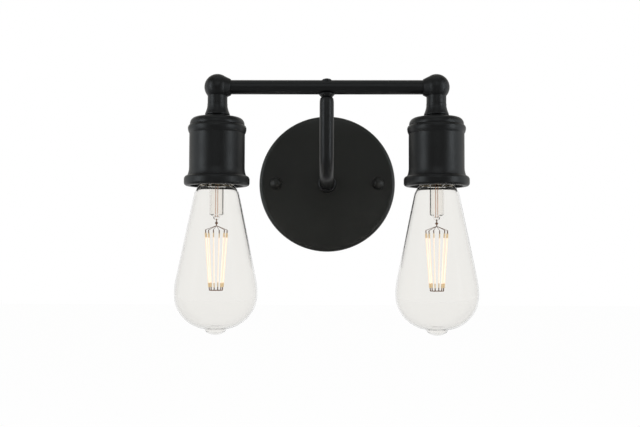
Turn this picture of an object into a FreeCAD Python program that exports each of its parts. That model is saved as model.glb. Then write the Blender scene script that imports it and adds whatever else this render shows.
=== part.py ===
import FreeCAD, Part
import math
import os
import re
import Sketcher

# Two-light wall sconce: a round backplate, a bent arm, a crossbar and two hanging lamp cups
# with pear-shaped filament bulbs. Millimetres, +X right, +Y into the wall, +Z up, with the
# origin on the wall behind the middle of the backplate.

SIZES = [
    # Backplate and what holds it to the wall box
    ("plate_radius", 60.0, "backplate, outer radius"),
    ("plate_depth", 22.0, "backplate, from the wall to its face"),
    ("plate_wall", 1.0, "backplate, sheet thickness"),
    ("plate_edge", 3.5, "backplate, outer rounding of the rim"),
    ("stud_edge", 15.0, "middle of a mounting stud to the backplate's edge"),
    ("stud_radius", 2.0, "mounting stud"),
    ("stud_hole_gap", 0.3, "clearance round a stud in the backplate"),
    ("stud_reach", 5.0, "stud, length in front of the backplate"),
    ("stud_nut_corner", 4.0, "stud lock nut, centre to corner"),
    ("stud_nut_height", 3.2, "stud lock nut"),
    ("strap_end", 7.0, "mounting strap, middle of a stud to the strap's end"),
    ("strap_width", 20.0, "mounting strap"),
    ("strap_thickness", 1.6, "mounting strap"),
    ("slot_inset", 12.0, "middle of a box slot to the middle of the stud beside it"),
    ("slot_length", 14.0, "box slot, end to end"),
    ("slot_radius", 2.4, "box slot, half its width"),
    ("cap_nut_radius", 5.2, "cap nut, flange"),
    ("cap_nut_flange", 1.2, "cap nut, flange thickness"),
    ("cap_nut_dome", 4.9, "cap nut, radius of the dome"),
    ("cap_nut_height", 6.1, "cap nut, seat to crown"),
    ("ground_room", 8.6, "lock washer's edge to the middle of the ground screw"),
    ("ground_screw_radius", 2.3, "ground screw, shank"),
    ("ground_head_radius", 4.4, "ground screw, head"),
    ("ground_head_height", 2.2, "ground screw, head"),
    # Arm, saddle and crossbar
    ("bar_reach", 115.0, "wall to the crossbar's axis"),
    ("bar_height", 67.5, "backplate's middle up to the crossbar's axis"),
    ("tube_radius", 5.55, "arm and crossbar tube, outer radius"),
    ("tube_wall", 1.2, "arm and crossbar tube, wall"),
    ("bend_radius", 15.0, "arm, bend along its centre line"),
    ("arm_top_gap", 8.2, "crossbar's axis down to the arm's upper end"),
    ("arm_top_round", 0.9, "arm, rounding of its upper end"),
    ("thread_step", 0.55, "threaded tube ends and nipples, smaller in radius than the tube"),
    ("fit_gap", 0.05, "sliding fit between fixed pieces, all round"),
    ("lead_bore", 3.2, "bores that the leads pass through, radius"),
    ("collar_radius", 8.0, "collar on the arm's root"),
    ("collar_height", 4.5, "collar, along the arm"),
    ("collar_round", 1.6, "collar, outer rounding"),
    ("terminal_radius", 8.0, "ground terminal ring"),
    ("terminal_thickness", 0.6, "ground terminal ring"),
    ("washer_radius", 8.4, "lock washer on the arm's thread"),
    ("washer_thickness", 0.8, "lock washer on the arm's thread"),
    ("pipe_nut_corner", 8.1, "hex nuts on the arm and the nipples, centre to corner"),
    ("pipe_nut_height", 3.2, "hex nuts on the arm and the nipples"),
    ("thread_tail", 1.5, "thread that stands past the arm's nut"),
    ("saddle_stand", 0.55, "saddle under the crossbar, wider in radius than the tube"),
    ("saddle_drop", 5.2, "crossbar's axis down to the saddle's upper face"),
    ("saddle_edge", 0.6, "saddle, straight edge at its upper face"),
    ("saddle_neck", 3.9, "saddle, radius where it meets the arm"),
    ("spigot_length", 7.0, "saddle's spigot inside the arm"),
    ("plug_radius", 3.7, "plug in the crossbar's top, head radius"),
    ("plug_crown", 1.4, "plug, height of its domed head above the crossbar"),
    ("plug_edge", 0.2, "plug, straight side of its head above the crossbar"),
    ("lamp_spacing", 170.0, "between the two lamp axes"),
    ("end_ball_radius", 10.25, "balls on the crossbar's ends"),
    ("bar_end_gap", 3.0, "crossbar's end short of the ball's middle"),
    # Neck and cup
    ("neck_radius", 7.65, "neck under each ball"),
    ("neck_drop", 13.0, "crossbar's axis down to the neck's lower end"),
    ("nipple_bore", 3.5, "nipple, bore radius"),
    ("nipple_top_drop", 5.9, "crossbar's axis down to the nipple's upper end"),
    ("nipple_tail", 0.3, "nipple, length past the lampholder cap's bush"),
    ("flare_step", 0.15, "flared collar where it meets the neck, wider in radius"),
    ("flare_start", 2.0, "neck's lower end down to where the flare starts"),
    ("flare_sweep", 22.0, "flare, radius of its hollow side"),
    ("flare_spread", 1.7, "flare, widening in radius"),
    ("flare_height", 5.9, "flare, down to its widest place"),
    ("flare_lip_round", 1.1, "flared collar, rounding under its lip"),
    ("flare_draw", 0.9, "flared collar, its foot smaller in radius than its lip"),
    ("flare_under", 1.5, "flare's widest place down to the collar's foot"),
    ("flare_foot_height", 1.6, "foot of the flared collar"),
    ("cup_lid_inset", 0.35, "cup lid, smaller in radius than the cup"),
    ("cup_lid_round", 5.0, "cup lid, shoulder rounding"),
    ("cup_lid_wall", 1.2, "cup lid, wall"),
    ("cup_lid_height", 5.8, "cup lid, top to seam"),
    ("cup_lap", 3.0, "lid's rim inside the cup"),
    ("cup_room", 4.45, "lampholder's outside to the cup's outside"),
    ("cup_wall", 1.1, "cup, wall"),
    ("bead_stand", 1.15, "bead at the cup's top, height over the cup"),
    ("bead_below", 2.8, "seam down to the middle of the bead"),
    ("bead_run", 4.0, "middle of the bead down to where it runs out"),
    ("bead_upper_sweep", 3.0, "bead, rounding above its middle"),
    ("bead_lower_sweep", 8.2, "bead, rounding below its middle"),
    ("cup_straight", 26.6, "straight part of the cup"),
    ("foot_stand", 1.25, "cup's foot, widening in radius"),
    ("foot_height", 5.9, "cup's foot, down to the rim band"),
    ("foot_sweep", 16.0, "cup, hollow of the flare"),
    ("rim_stand", 2.6, "rim band, wider in radius than the foot"),
    ("rim_shoulder", 2.9, "rim band, height of its upper rounding"),
    ("rim_shoulder_sweep", 3.1, "rim band, radius of its upper rounding"),
    ("rim_round", 2.4, "rim band, lower rounding"),
    ("rim_height", 8.1, "rim band"),
    # Lampholder
    ("mouth_recess", 6.2, "rim up to the porcelain"),
    ("porcelain_wall", 2.0, "lampholder body, wall round its bore"),
    ("porcelain_height", 33.0, "lampholder body with its terminal block"),
    ("shell_room", 1.0, "screw shell to the lampholder body's bore"),
    ("porcelain_floor", 10.0, "terminal block, thickness over the bore"),
    ("porcelain_round", 1.2, "lampholder body, rounding of its mouth"),
    ("contact_hole", 5.0, "hole in the screw shell's end for the contact"),
    ("holder_cap_wall", 0.8, "lampholder cap, sheet"),
    ("holder_cap_lap", 4.5, "lampholder cap, length over the porcelain"),
    ("holder_cap_room", 5.6, "lampholder cap, room over the porcelain"),
    ("holder_cap_round", 2.4, "lampholder cap, shoulder rounding"),
    ("bush_radius", 6.8, "lampholder cap's threaded bush"),
    ("bush_height", 4.6, "lampholder cap's threaded bush"),
    ("bush_stand", 2.0, "bush, height above the cap"),
    ("terminal_place", 7.0, "terminal screw, from the lampholder's axis"),
    ("terminal_shank", 1.3, "terminal screw, shank radius"),
    ("terminal_head", 2.7, "terminal screw, head radius"),
    ("terminal_head_height", 1.3, "terminal screw, head"),
    ("strip_width", 4.0, "centre contact strip"),
    ("strip_thickness", 0.4, "centre contact strip"),
    ("contact_gap", 0.3, "centre contact strip to the bulb's contact"),
    # Screw thread of bulb and lampholder, rolled round ridges
    ("thread_pitch", 3.629, "lamp thread, seven turns to the inch"),
    ("thread_turns", 4.0, "lamp thread, turns on each piece"),
    ("ridge_radius", 1.0, "lamp thread, radius of the rolled ridge"),
    ("ridge_turn", 60.0, "lamp thread, where its ridge starts round the axis, degrees"),
    ("base_radius", 12.35, "bulb base between its ridges"),
    ("base_wall", 0.5, "bulb base, sheet"),
    ("thread_room", 1.2, "bulb's base to the screw shell's inside"),
    ("shell_wall", 0.45, "screw shell, sheet"),
    ("shell_foot", 1.2, "screw shell's end inside the porcelain's mouth"),
    ("shell_thread_turns", 1.5, "bulb's first ridge up to the lampholder's first ridge, in turns"),
    # Bulb, drops measured down from the lower end of its base
    ("base_rise", 1.0, "cup's rim up to the lower end of the bulb's base"),
    ("base_flare_stand", 0.85, "bulb base, its lower end wider in radius"),
    ("base_height", 22.0, "bulb base, height of its shell"),
    ("base_round", 2.0, "bulb base, upper rounding"),
    ("base_thread_start", 4.4, "bulb base, lower end up to the first ridge"),
    ("base_shoulder", 3.75, "bulb base, outside to its opening round the insulator"),
    ("insulator_height", 2.9, "bulb insulator, above the shell"),
    ("insulator_top", 5.2, "bulb insulator, top radius"),
    ("insulator_plug", 2.0, "bulb insulator, depth inside the shell"),
    ("turn_gap", 0.06, "running fit between insulator and shell"),
    ("contact_radius", 4.0, "bulb contact"),
    ("contact_height", 1.5, "bulb contact"),
    ("glass_wall", 0.9, "bulb glass"),
    ("glass_play", 1.05, "bulb glass, its neck short of the base's inside"),
    ("glass_neck_height", 5.5, "bulb glass, neck above the lower end of the base"),
    ("glass_lip_stand", 0.65, "bulb glass where it leaves the base, wider in radius than it"),
    ("glass_lip_drop", 0.2, "down to where the glass leaves the base"),
    ("shoulder_radius", 17.4, "bulb glass, shoulder"),
    ("shoulder_drop", 7.5, "down to the shoulder"),
    ("shoulder_sweep", 15.0, "bulb glass, shoulder rounding"),
    ("glass_radius", 31.9, "bulb glass, widest radius"),
    ("belly_drop", 84.3, "down to the widest place"),
    ("cone_rise", 12.1, "widest place up to where the glass leaves its cone"),
    ("upper_sweep", 60.2, "bulb glass, rounding above the widest place"),
    ("bottom_sweep", 26.8, "bulb glass, rounding below the widest place"),
    ("tip_root", 8.6, "bulb glass, radius where the sealed tip starts"),
    ("tip_radius", 7.4, "bulb glass, sealed tip"),
    ("tip_length", 4.7, "bulb glass, sealed tip, root to end"),
    ("stem_radius", 5.4, "glass stem"),
    ("stem_wall", 0.8, "glass stem"),
    ("stem_taper", 4.6, "glass stem, length of its taper"),
    ("stem_pinch", 2.6, "glass stem, radius of its sealed end"),
    ("stem_drop", 27.4, "down to the stem's sealed end"),
    ("filament_count", 6.0, "filament strips in a bulb"),
    ("filament_length", 41.8, "filament strip with its metal ends"),
    ("filament_radius", 0.85, "filament strip"),
    ("filament_gap", 9.9, "stem's sealed end down to the filaments' upper ends"),
    ("filament_top_ring", 8.4, "circle of the filaments' upper ends, radius"),
    ("filament_low_ring", 5.3, "circle of the filaments' lower ends, radius"),
    ("filament_turn", 15.0, "turn of the first filament, degrees"),
    ("tab_length", 4.6, "wire from a filament's end to its carrier"),
    ("wire_radius", 0.4, "filament support wire"),
    ("wire_joint", 0.6, "weld between two support wires, radius"),
    ("knot_radius", 1.2, "wires gathered below the stem's sealed end, radius"),
    ("knot_length", 5.0, "wires gathered below the stem's sealed end"),
    ("driver_play", 1.15, "driver board's edges short of the base's inside"),
    ("driver_thickness", 1.6, "driver board"),
    ("driver_height", 10.0, "driver board"),
    ("driver_part_radius", 3.0, "driver board, capacitor"),
    ("driver_part_height", 7.0, "driver board, capacitor"),
    # Leads
    ("lead_radius", 0.9, "lamp lead with its insulation"),
    ("lead_step", 1.1, "lamp lead's middle beside the tube's axis"),
    ("lead_bend", 5.0, "lamp lead, bends inside balls and crossbar"),
    ("lead_hook", 3.0, "lamp lead, bend at its terminal"),
    ("lead_rise", 9.0, "splice plane in front of the wall"),
    ("splice_place", 27.0, "middle of the backplate to the wire connector's mouth"),
    ("splice_depth", 13.0, "leads inside a wire connector"),
    ("connector_mouth", 5.6, "wire connector, outer radius at its mouth"),
    ("connector_tip", 3.6, "wire connector, outer radius at its tip"),
    ("connector_bore", 2.4, "wire connector, bore radius"),
    ("connector_length", 21.0, "wire connector"),
    ("cut_overrun", 1.0, "how far a cutter stands past what it cuts"),
]

# Heights and places that follow from the sizes. A later line may use an earlier one.
PLACES = [
    ("stud_place", "plate_radius - stud_edge"),
    ("strap_length", "2 * (stud_place + strap_end)"),
    ("slot_place", "stud_place - slot_inset"),
    ("ground_screw_place", "washer_radius + ground_room"),
    ("lamp_place", "lamp_spacing / 2"),
    ("tube_bore", "tube_radius - tube_wall"),
    ("thread_radius", "tube_radius - thread_step"),
    ("saddle_radius", "tube_radius + saddle_stand"),
    ("plate_back", "plate_depth - plate_wall"),
    ("arm_end", "plate_back - terminal_thickness - washer_thickness - pipe_nut_height - thread_tail"),
    ("flare_radius", "neck_radius + flare_step"),
    ("flare_lip", "flare_radius + flare_spread"),
    ("flare_foot", "flare_lip - flare_draw"),
    ("flare_bend_drop", "neck_drop + flare_start"),
    ("flare_lip_drop", "flare_bend_drop + flare_height"),
    ("flare_foot_drop", "flare_lip_drop + flare_under"),
    ("cup_top_drop", "flare_foot_drop + flare_foot_height"),
    ("cup_seam_drop", "cup_top_drop + cup_lid_height"),
    ("bead_drop", "cup_seam_drop + bead_below"),
    ("bead_end_drop", "bead_drop + bead_run"),
    ("foot_start_drop", "bead_end_drop + cup_straight"),
    ("foot_drop", "foot_start_drop + foot_height"),
    ("rim_drop", "foot_drop + rim_height"),
    ("base_flare", "base_radius + base_flare_stand"),
    ("base_mouth", "base_radius - base_shoulder"),
    ("glass_neck", "base_radius - base_wall - glass_play"),
    ("glass_lip", "base_radius + glass_lip_stand"),
    ("driver_width", "2 * (base_radius - base_wall - driver_play)"),
    ("shell_radius", "base_radius + thread_room"),
    ("porcelain_bore", "shell_radius + shell_wall + shell_room"),
    ("porcelain_radius", "porcelain_bore + porcelain_wall"),
    ("cup_radius", "porcelain_radius + cup_room"),
    ("cup_lid_radius", "cup_radius - cup_lid_inset"),
    ("bead_radius", "cup_radius + bead_stand"),
    ("foot_radius", "cup_radius + foot_stand"),
    ("rim_radius", "foot_radius + rim_stand"),
    ("cup_top", "bar_height - cup_top_drop"),
    ("cup_rim", "bar_height - rim_drop"),
    ("porcelain_foot", "cup_rim + mouth_recess"),
    ("porcelain_top", "porcelain_foot + porcelain_height"),
    ("porcelain_seat", "porcelain_top - porcelain_floor"),
    ("holder_cap_top", "porcelain_top + holder_cap_room + holder_cap_wall"),
    ("bush_top", "holder_cap_top + bush_stand"),
    ("nipple_foot", "bush_top - bush_height - nipple_tail"),
    ("base_foot", "cup_rim + base_rise"),
    ("base_top", "base_foot + base_height"),
    ("contact_top", "base_top + insulator_height + contact_height"),
    ("base_thread", "base_foot + base_thread_start"),
    ("shell_thread", "base_thread + thread_pitch * shell_thread_turns"),
    ("cone_drop", "belly_drop - cone_rise"),
    ("cone_radius", "glass_radius - upper_sweep + sqrt(upper_sweep ^ 2 - cone_rise ^ 2)"),
    ("tip_drop", "belly_drop + sqrt(bottom_sweep ^ 2 - (tip_root - glass_radius + bottom_sweep) ^ 2)"),
    ("stem_flare_drop", "stem_drop - stem_taper"),
    ("filament_drop", "stem_drop + filament_gap"),
    ("filament_end", "filament_drop + filament_length"),
]

SIDES = (("left", -1), ("right", 1))
UPRIGHT = FreeCAD.Rotation()
TO_FRONT = FreeCAD.Rotation(FreeCAD.Vector(1, 0, 0), 90)
UPSIDE_DOWN = FreeCAD.Rotation(FreeCAD.Vector(1, 0, 0), 180)
HEX_SIDES = 6
NUT_CONE_FOOT_SHARE = 1.45
NUT_CONE_TOP_SHARE = 0.92

doc = FreeCAD.newDocument("wall_sconce")
nodes = {}


# Sheets and expressions

def fill_sheet(name, rows):
    """Make a sheet with one named cell for each row: the name, its value and what it is."""
    sheet = doc.addObject("Spreadsheet::Sheet", name)
    for number, row in enumerate(rows, start=1):
        sheet.set(f"A{number}", row[0])
        sheet.set(f"B{number}", row[1])
        sheet.set(f"C{number}", row[2])
        sheet.setAlias(f"B{number}", row[0])
    doc.recompute()
    return sheet


def bind(text):
    """Turn a formula in the sizes' short names into one that any object can use."""
    def full_name(match):
        word = match.group(0)
        return sheet_of.get(word, "") + word
    return re.sub(r"[a-z_]+", full_name, text)


def value(text):
    """The present value of a formula."""
    return float(sizes.evalExpression(bind(text)))


sheet_of = {row[0]: "Sizes." for row in SIZES}
sizes = fill_sheet("Sizes", [(name, str(number), note) for name, number, note in SIZES])
short_names = dict(sheet_of)
sheet_of.update({row[0]: "Places." for row in PLACES})


def place_formula(text):
    """A formula for the sheet of places, where its own cells need no sheet name."""
    def full_name(match):
        word = match.group(0)
        return short_names.get(word, "") + word
    return "=" + re.sub(r"[a-z_]+", full_name, text)


places = fill_sheet("Places", [(name, place_formula(text), text) for name, text in PLACES])


# Ways of making a piece

def set_sizes(item, formulas):
    """Bind properties of an object to formulas."""
    for name, text in formulas.items():
        item.setExpression(name, bind(text))


def put(item, x="0", y="0", z="0", turn=UPRIGHT):
    """Turn an object and bind its place."""
    item.Placement = FreeCAD.Placement(FreeCAD.Vector(0, 0, 0), turn)
    set_sizes(item, {".Placement.Base.x": x, ".Placement.Base.y": y, ".Placement.Base.z": z})
    return item


def primitive(kind, name, formulas, **where):
    """A Part primitive with its sizes and place bound."""
    item = doc.addObject("Part::" + kind, name)
    set_sizes(item, formulas)
    return put(item, **where)


def rod(name, radius, length, **where):
    """A plain round rod."""
    return primitive("Cylinder", name, {"Radius": radius, "Height": length}, **where)


def cut(name, base, *tools):
    """One solid less one or more others."""
    item = doc.addObject("Part::Cut", name)
    item.Base = base
    item.Tool = tools[0] if len(tools) == 1 else fuse(name + "_cutter", *tools)
    return item


def fuse(name, *parts):
    """Several solids made one."""
    item = doc.addObject("Part::MultiFuse", name)
    item.Shapes = list(parts)
    return item


def group(name, *parts):
    """Like pieces kept as separate solids under one name."""
    item = doc.addObject("Part::Compound", name)
    item.Links = list(parts)
    return item


def keep(label, item):
    """Give a finished piece its name and add it to the list that is written out."""
    item.Label = label
    nodes[label] = item
    return item


def arc_between(start, end, radius, side):
    """An arc from start to end with its centre to the left (1) or right (-1) of the way."""
    chord = end.sub(start)
    half = chord.Length / 2
    rise = math.sqrt(max(radius * radius - half * half, 0.0))
    across = FreeCAD.Vector(-chord.y, chord.x, 0).normalize()
    centre = start + chord * 0.5 + across * (side * rise)
    middle = centre - across * (side * radius)
    return Part.Arc(start, middle, end)


def fix_point(sketch, edge, end, x, y):
    """Bind one end of an edge to formulas for its two coordinates."""
    for direction, axis, text in (("DistanceX", -2, x), ("DistanceY", -1, y)):
        if text == "0":
            sketch.addConstraint(Sketcher.Constraint("PointOnObject", edge, end, axis))
        else:
            row = sketch.addConstraint(Sketcher.Constraint(direction, -1, 1, edge, end, value(text)))
            sketch.setExpression(f"Constraints[{row}]", bind(text))


def draw(sketch, outline):
    """Draw a closed outline of (x, y) or (x, y, arc radius, side) corners, all bound to the sheets."""
    corners = [FreeCAD.Vector(value(step[0]), value(step[1]), 0) for step in outline]
    edges = []
    for number, step in enumerate(outline):
        start = corners[number - 1]
        if len(step) == 2:
            edges.append(sketch.addGeometry(Part.LineSegment(start, corners[number]), False))
            first, last = 1, 2
        else:
            arc = arc_between(start, corners[number], value(step[2]), step[3])
            edges.append(sketch.addGeometry(arc, False))
            row = sketch.addConstraint(Sketcher.Constraint("Radius", edges[-1], value(step[2])))
            sketch.setExpression(f"Constraints[{row}]", bind(step[2]))
            first, last = (1, 2) if step[3] > 0 else (2, 1)
        if number:
            sketch.addConstraint(Sketcher.Constraint("Coincident", edges[-2], ended, edges[-1], first))
        else:
            opened = first
        ended = last
        fix_point(sketch, edges[-1], last, step[0], step[1])
    sketch.addConstraint(Sketcher.Constraint("Coincident", edges[-1], ended, edges[0], opened))


def new_sketch(body, name, plane):
    """A sketch on one of its body's own origin planes."""
    sketch = body.newObject("Sketcher::SketchObject", name)
    planes = {feature.Role: feature for feature in body.Origin.OriginFeatures}
    sketch.AttachmentSupport = [(planes[plane], "")]
    sketch.MapMode = "FlatFace"
    return sketch


def turned(label, outline, **where):
    """A body turned about its own Z axis from an outline of (radius, height) corners."""
    body = doc.addObject("PartDesign::Body", label + "_body")
    sketch = new_sketch(body, label + "_outline", "XZ_Plane")
    draw(sketch, outline)
    revolution = body.newObject("PartDesign::Revolution", label + "_turned")
    revolution.Profile = sketch
    revolution.ReferenceAxis = (sketch, ["V_Axis"])
    revolution.Angle = 360
    return put(body, **where)


def dome(half_width, rise):
    """The radius of a dome of this half width and rise, whose middle lies on the axis."""
    return f"(({half_width}) ^ 2 + ({rise}) ^ 2) / 2 / ({rise})"


def backwards(outline):
    """The same outline run the other way."""
    corners = [step[:2] for step in outline]
    result = [corners[-1]]
    for number in range(len(outline) - 1, 0, -1):
        arc = outline[number][2:]
        turn = (arc[0], -arc[1]) if arc else ()
        result.append(corners[number - 1] + turn)
    return result


def hex_nut(name, corner, height, bore, **where):
    """A hexagon nut with its top corners turned off."""
    prism = doc.addObject("Part::Prism", name + "_hexagon")
    prism.Polygon = HEX_SIDES
    set_sizes(prism, {"Circumradius": corner, "Height": height})
    cone = primitive("Cone", name + "_turned_off",
                     {"Radius1": f"{corner} * {NUT_CONE_FOOT_SHARE}", "Radius2": f"{corner} * {NUT_CONE_TOP_SHARE}",
                      "Height": height})
    blank = doc.addObject("Part::Common", name + "_blank")
    blank.Base = prism
    blank.Tool = cone
    hole = rod(name + "_hole", bore, f"{height} + 2 * cut_overrun", z="-cut_overrun")
    return put(cut(name, blank, hole), **where)


def rounded_path(points, radii):
    """Straight runs through the points, joined by tangent arcs of the given radii."""
    edges = []
    start = points[0]
    for before, corner, after, radius in zip(points, points[1:], points[2:], radii):
        arriving = (corner - before).normalize()
        leaving = (after - corner).normalize()
        turn = arriving.getAngle(leaving)
        back = radius * math.tan(turn / 2)
        near = corner - arriving * back
        far = corner + leaving * back
        inward = (leaving - arriving).normalize()
        centre = corner + inward * (radius / math.cos(turn / 2))
        edges.append(Part.LineSegment(start, near).toShape())
        edges.append(Part.Arc(near, centre - inward * radius, far).toShape())
        start = far
    edges.append(Part.LineSegment(start, points[-1]).toShape())
    return Part.Wire(edges)


def lead_solid(name, points, radii):
    """A lead along a rounded path. Its arcs, and its volume against section times length, are printed."""
    radius = value("lead_radius")
    path = rounded_path(points, radii)
    ring = Part.Wire(Part.Circle(points[0], points[1] - points[0], radius).toShape())
    solid = path.makePipeShell([ring], True, False)
    plain = math.pi * radius ** 2 * path.Length
    arcs = ", ".join(f"{arc:.1f}" for arc in radii)
    print(f"{name}: arcs of {arcs} mm, {path.Length:.0f} mm long, volume {solid.Volume / plain:.4f} of plain")
    return solid


def wires(label, shapes):
    """A piece of one or more bent wires."""
    item = doc.addObject("Part::Feature", label)
    item.Shape = shapes[0] if len(shapes) == 1 else Part.makeCompound(shapes)
    item.Placement = FreeCAD.Placement()
    return keep(label, item)


# Backplate and wall fixing

def make_backplate():
    shell = turned("backplate", [
        ("thread_radius + fit_gap", "plate_depth"),
        ("thread_radius + fit_gap", "plate_back"),
        ("plate_radius - plate_edge", "plate_back"),
        ("plate_radius - plate_wall", "plate_depth - plate_edge", "plate_edge - plate_wall", -1),
        ("plate_radius - plate_wall", "0"),
        ("plate_radius", "0"),
        ("plate_radius", "plate_depth - plate_edge"),
        ("plate_radius - plate_edge", "plate_depth", "plate_edge", 1),
    ], turn=TO_FRONT)
    holes = [rod(f"stud_hole_{side}", "stud_radius + stud_hole_gap", "plate_wall + 2 * cut_overrun",
                 x=f"{sign} * stud_place", y="cut_overrun - plate_back", turn=TO_FRONT)
             for side, sign in SIDES]
    keep("backplate", cut("backplate", shell, *holes))


def make_strap():
    plate = primitive("Box", "strap_blank",
                      {"Length": "strap_length", "Width": "strap_thickness", "Height": "strap_width"},
                      x="-strap_length / 2", y="-strap_thickness", z="-strap_width / 2")
    depth = "strap_thickness + 2 * cut_overrun"
    cutters = []
    for side, sign in SIDES:
        cutters.append(rod(f"strap_stud_hole_{side}", "stud_radius + fit_gap", depth,
                           x=f"{sign} * stud_place", y="cut_overrun", turn=TO_FRONT))
        straight = "(slot_length / 2 - slot_radius)"
        cutters.append(primitive("Box", f"slot_middle_{side}",
                                 {"Length": f"2 * {straight}", "Width": depth, "Height": "2 * slot_radius"},
                                 x=f"{sign} * slot_place - {straight}",
                                 y="-strap_thickness - cut_overrun", z="-slot_radius"))
        for end in (-1, 1):
            cutters.append(rod(f"slot_end_{side}", "slot_radius", depth,
                               x=f"{sign} * slot_place + {end} * {straight}",
                               y="cut_overrun", turn=TO_FRONT))
    cutters.append(rod("ground_hole", "ground_screw_radius + fit_gap", depth,
                       x="ground_screw_place", y="cut_overrun", turn=TO_FRONT))
    keep("mounting_strap", cut("mounting_strap", plate, *cutters))


def make_studs():
    studs = [rod(f"stud_{side}", "stud_radius", "plate_depth + stud_reach",
                 x=f"{sign} * stud_place", turn=TO_FRONT) for side, sign in SIDES]
    keep("mounting_studs", group("mounting_studs", *studs))
    nuts = [hex_nut(f"stud_nut_{side}", "stud_nut_corner", "stud_nut_height", "stud_radius + fit_gap",
                    x=f"{sign} * stud_place", y="-strap_thickness", turn=TO_FRONT)
            for side, sign in SIDES]
    keep("stud_lock_nuts", group("stud_lock_nuts", *nuts))


def make_cap_nuts():
    caps = []
    for side, sign in SIDES:
        caps.append(turned(f"cap_nut_{side}", [
            ("0", "stud_reach + fit_gap"),
            ("stud_radius + fit_gap", "stud_reach + fit_gap"),
            ("stud_radius + fit_gap", "0"),
            ("cap_nut_radius", "0"),
            ("cap_nut_radius", "cap_nut_flange / 2"),
            ("cap_nut_radius - cap_nut_flange / 2", "cap_nut_flange", "cap_nut_flange / 2", 1),
            ("cap_nut_dome", "cap_nut_flange"),
            ("0", "cap_nut_height", dome("cap_nut_dome", "cap_nut_height - cap_nut_flange"), 1),
        ], x=f"{sign} * stud_place", y="-plate_depth", turn=TO_FRONT))
    keep("cap_nuts", group("cap_nuts", *caps))


def make_ground_screw():
    shank = rod("ground_shank", "ground_screw_radius", "strap_thickness + lead_radius * 2",
                x="ground_screw_place", turn=TO_FRONT)
    head = rod("ground_head", "ground_head_radius", "ground_head_height",
               x="ground_screw_place", y="-strap_thickness - lead_radius * 2", turn=TO_FRONT)
    slot = primitive("Box", "ground_slot",
                     {"Length": "ground_screw_radius / 2", "Width": "ground_head_height / 2 + cut_overrun",
                      "Height": "2 * ground_head_radius + 2 * cut_overrun"},
                     x="ground_screw_place - ground_screw_radius / 4",
                     y="-strap_thickness - lead_radius * 2 - ground_head_height - cut_overrun",
                     z="-ground_head_radius - cut_overrun")
    keep("ground_screw", cut("ground_screw", fuse("ground_screw_blank", shank, head), slot))


# Arm, saddle and crossbar

def make_arm():
    body = doc.addObject("PartDesign::Body", "arm_body")
    path = new_sketch(body, "arm_path", "YZ_Plane")
    reach = -value("bar_reach")
    top = value("bar_height - arm_top_gap")
    bend = value("bend_radius")
    end = -value("plate_depth")
    upright = path.addGeometry(Part.LineSegment(FreeCAD.Vector(reach, top, 0),
                                                FreeCAD.Vector(reach, bend, 0)), False)
    elbow = path.addGeometry(arc_between(FreeCAD.Vector(reach, bend, 0),
                                         FreeCAD.Vector(reach + bend, 0, 0), bend, 1), False)
    level = path.addGeometry(Part.LineSegment(FreeCAD.Vector(reach + bend, 0, 0),
                                              FreeCAD.Vector(end, 0, 0)), False)
    fix_point(path, upright, 1, "-bar_reach", "bar_height - arm_top_gap")
    fix_point(path, upright, 2, "-bar_reach", "bend_radius")
    fix_point(path, level, 1, "bend_radius - bar_reach", "0")
    fix_point(path, level, 2, "-plate_depth", "0")
    path.addConstraint(Sketcher.Constraint("Coincident", upright, 2, elbow, 1))
    path.addConstraint(Sketcher.Constraint("Coincident", elbow, 2, level, 1))
    row = path.addConstraint(Sketcher.Constraint("Radius", elbow, bend))
    path.setExpression(f"Constraints[{row}]", bind("bend_radius"))
    section = new_sketch(body, "arm_section", "XY_Plane")
    set_sizes(section, {".AttachmentOffset.Base.y": "-bar_reach",
                        ".AttachmentOffset.Base.z": "bar_height - arm_top_gap"})
    draw_ring(section, "tube_radius", "tube_bore")
    tube = body.newObject("PartDesign::AdditivePipe", "arm_tube")
    tube.Profile = section
    tube.Spine = path
    doc.recompute()
    tip_section = new_sketch(body, "arm_thread_section", "XZ_Plane")
    set_sizes(tip_section, {".AttachmentOffset.Base.z": "plate_depth"})
    draw_ring(tip_section, "thread_radius", "tube_bore")
    tip = body.newObject("PartDesign::Pad", "arm_thread")
    tip.Profile = tip_section
    tip.Reversed = True
    set_sizes(tip, {"Length": "plate_depth - arm_end"})
    doc.recompute()
    top_edges = [f"Edge{number}" for number, edge in enumerate(tip.Shape.Edges, start=1)
                 if abs(edge.BoundBox.ZMin - top) < edge.Length / 1000
                 and abs(edge.BoundBox.XLength - 2 * value("tube_radius")) < edge.Length / 1000]
    rounding = body.newObject("PartDesign::Fillet", "arm_top_rounding")
    rounding.Base = (tip, top_edges)
    set_sizes(rounding, {"Radius": "arm_top_round"})
    keep("arm_tube", body)


def draw_ring(sketch, outer, inner):
    """Two circles about the sketch's origin, bound to the sheets."""
    for text in (outer, inner):
        circle = sketch.addGeometry(Part.Circle(FreeCAD.Vector(0, 0, 0), FreeCAD.Vector(0, 0, 1),
                                                value(text)), False)
        sketch.addConstraint(Sketcher.Constraint("Coincident", circle, 3, -1, 1))
        row = sketch.addConstraint(Sketcher.Constraint("Radius", circle, value(text)))
        sketch.setExpression(f"Constraints[{row}]", bind(text))


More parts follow.
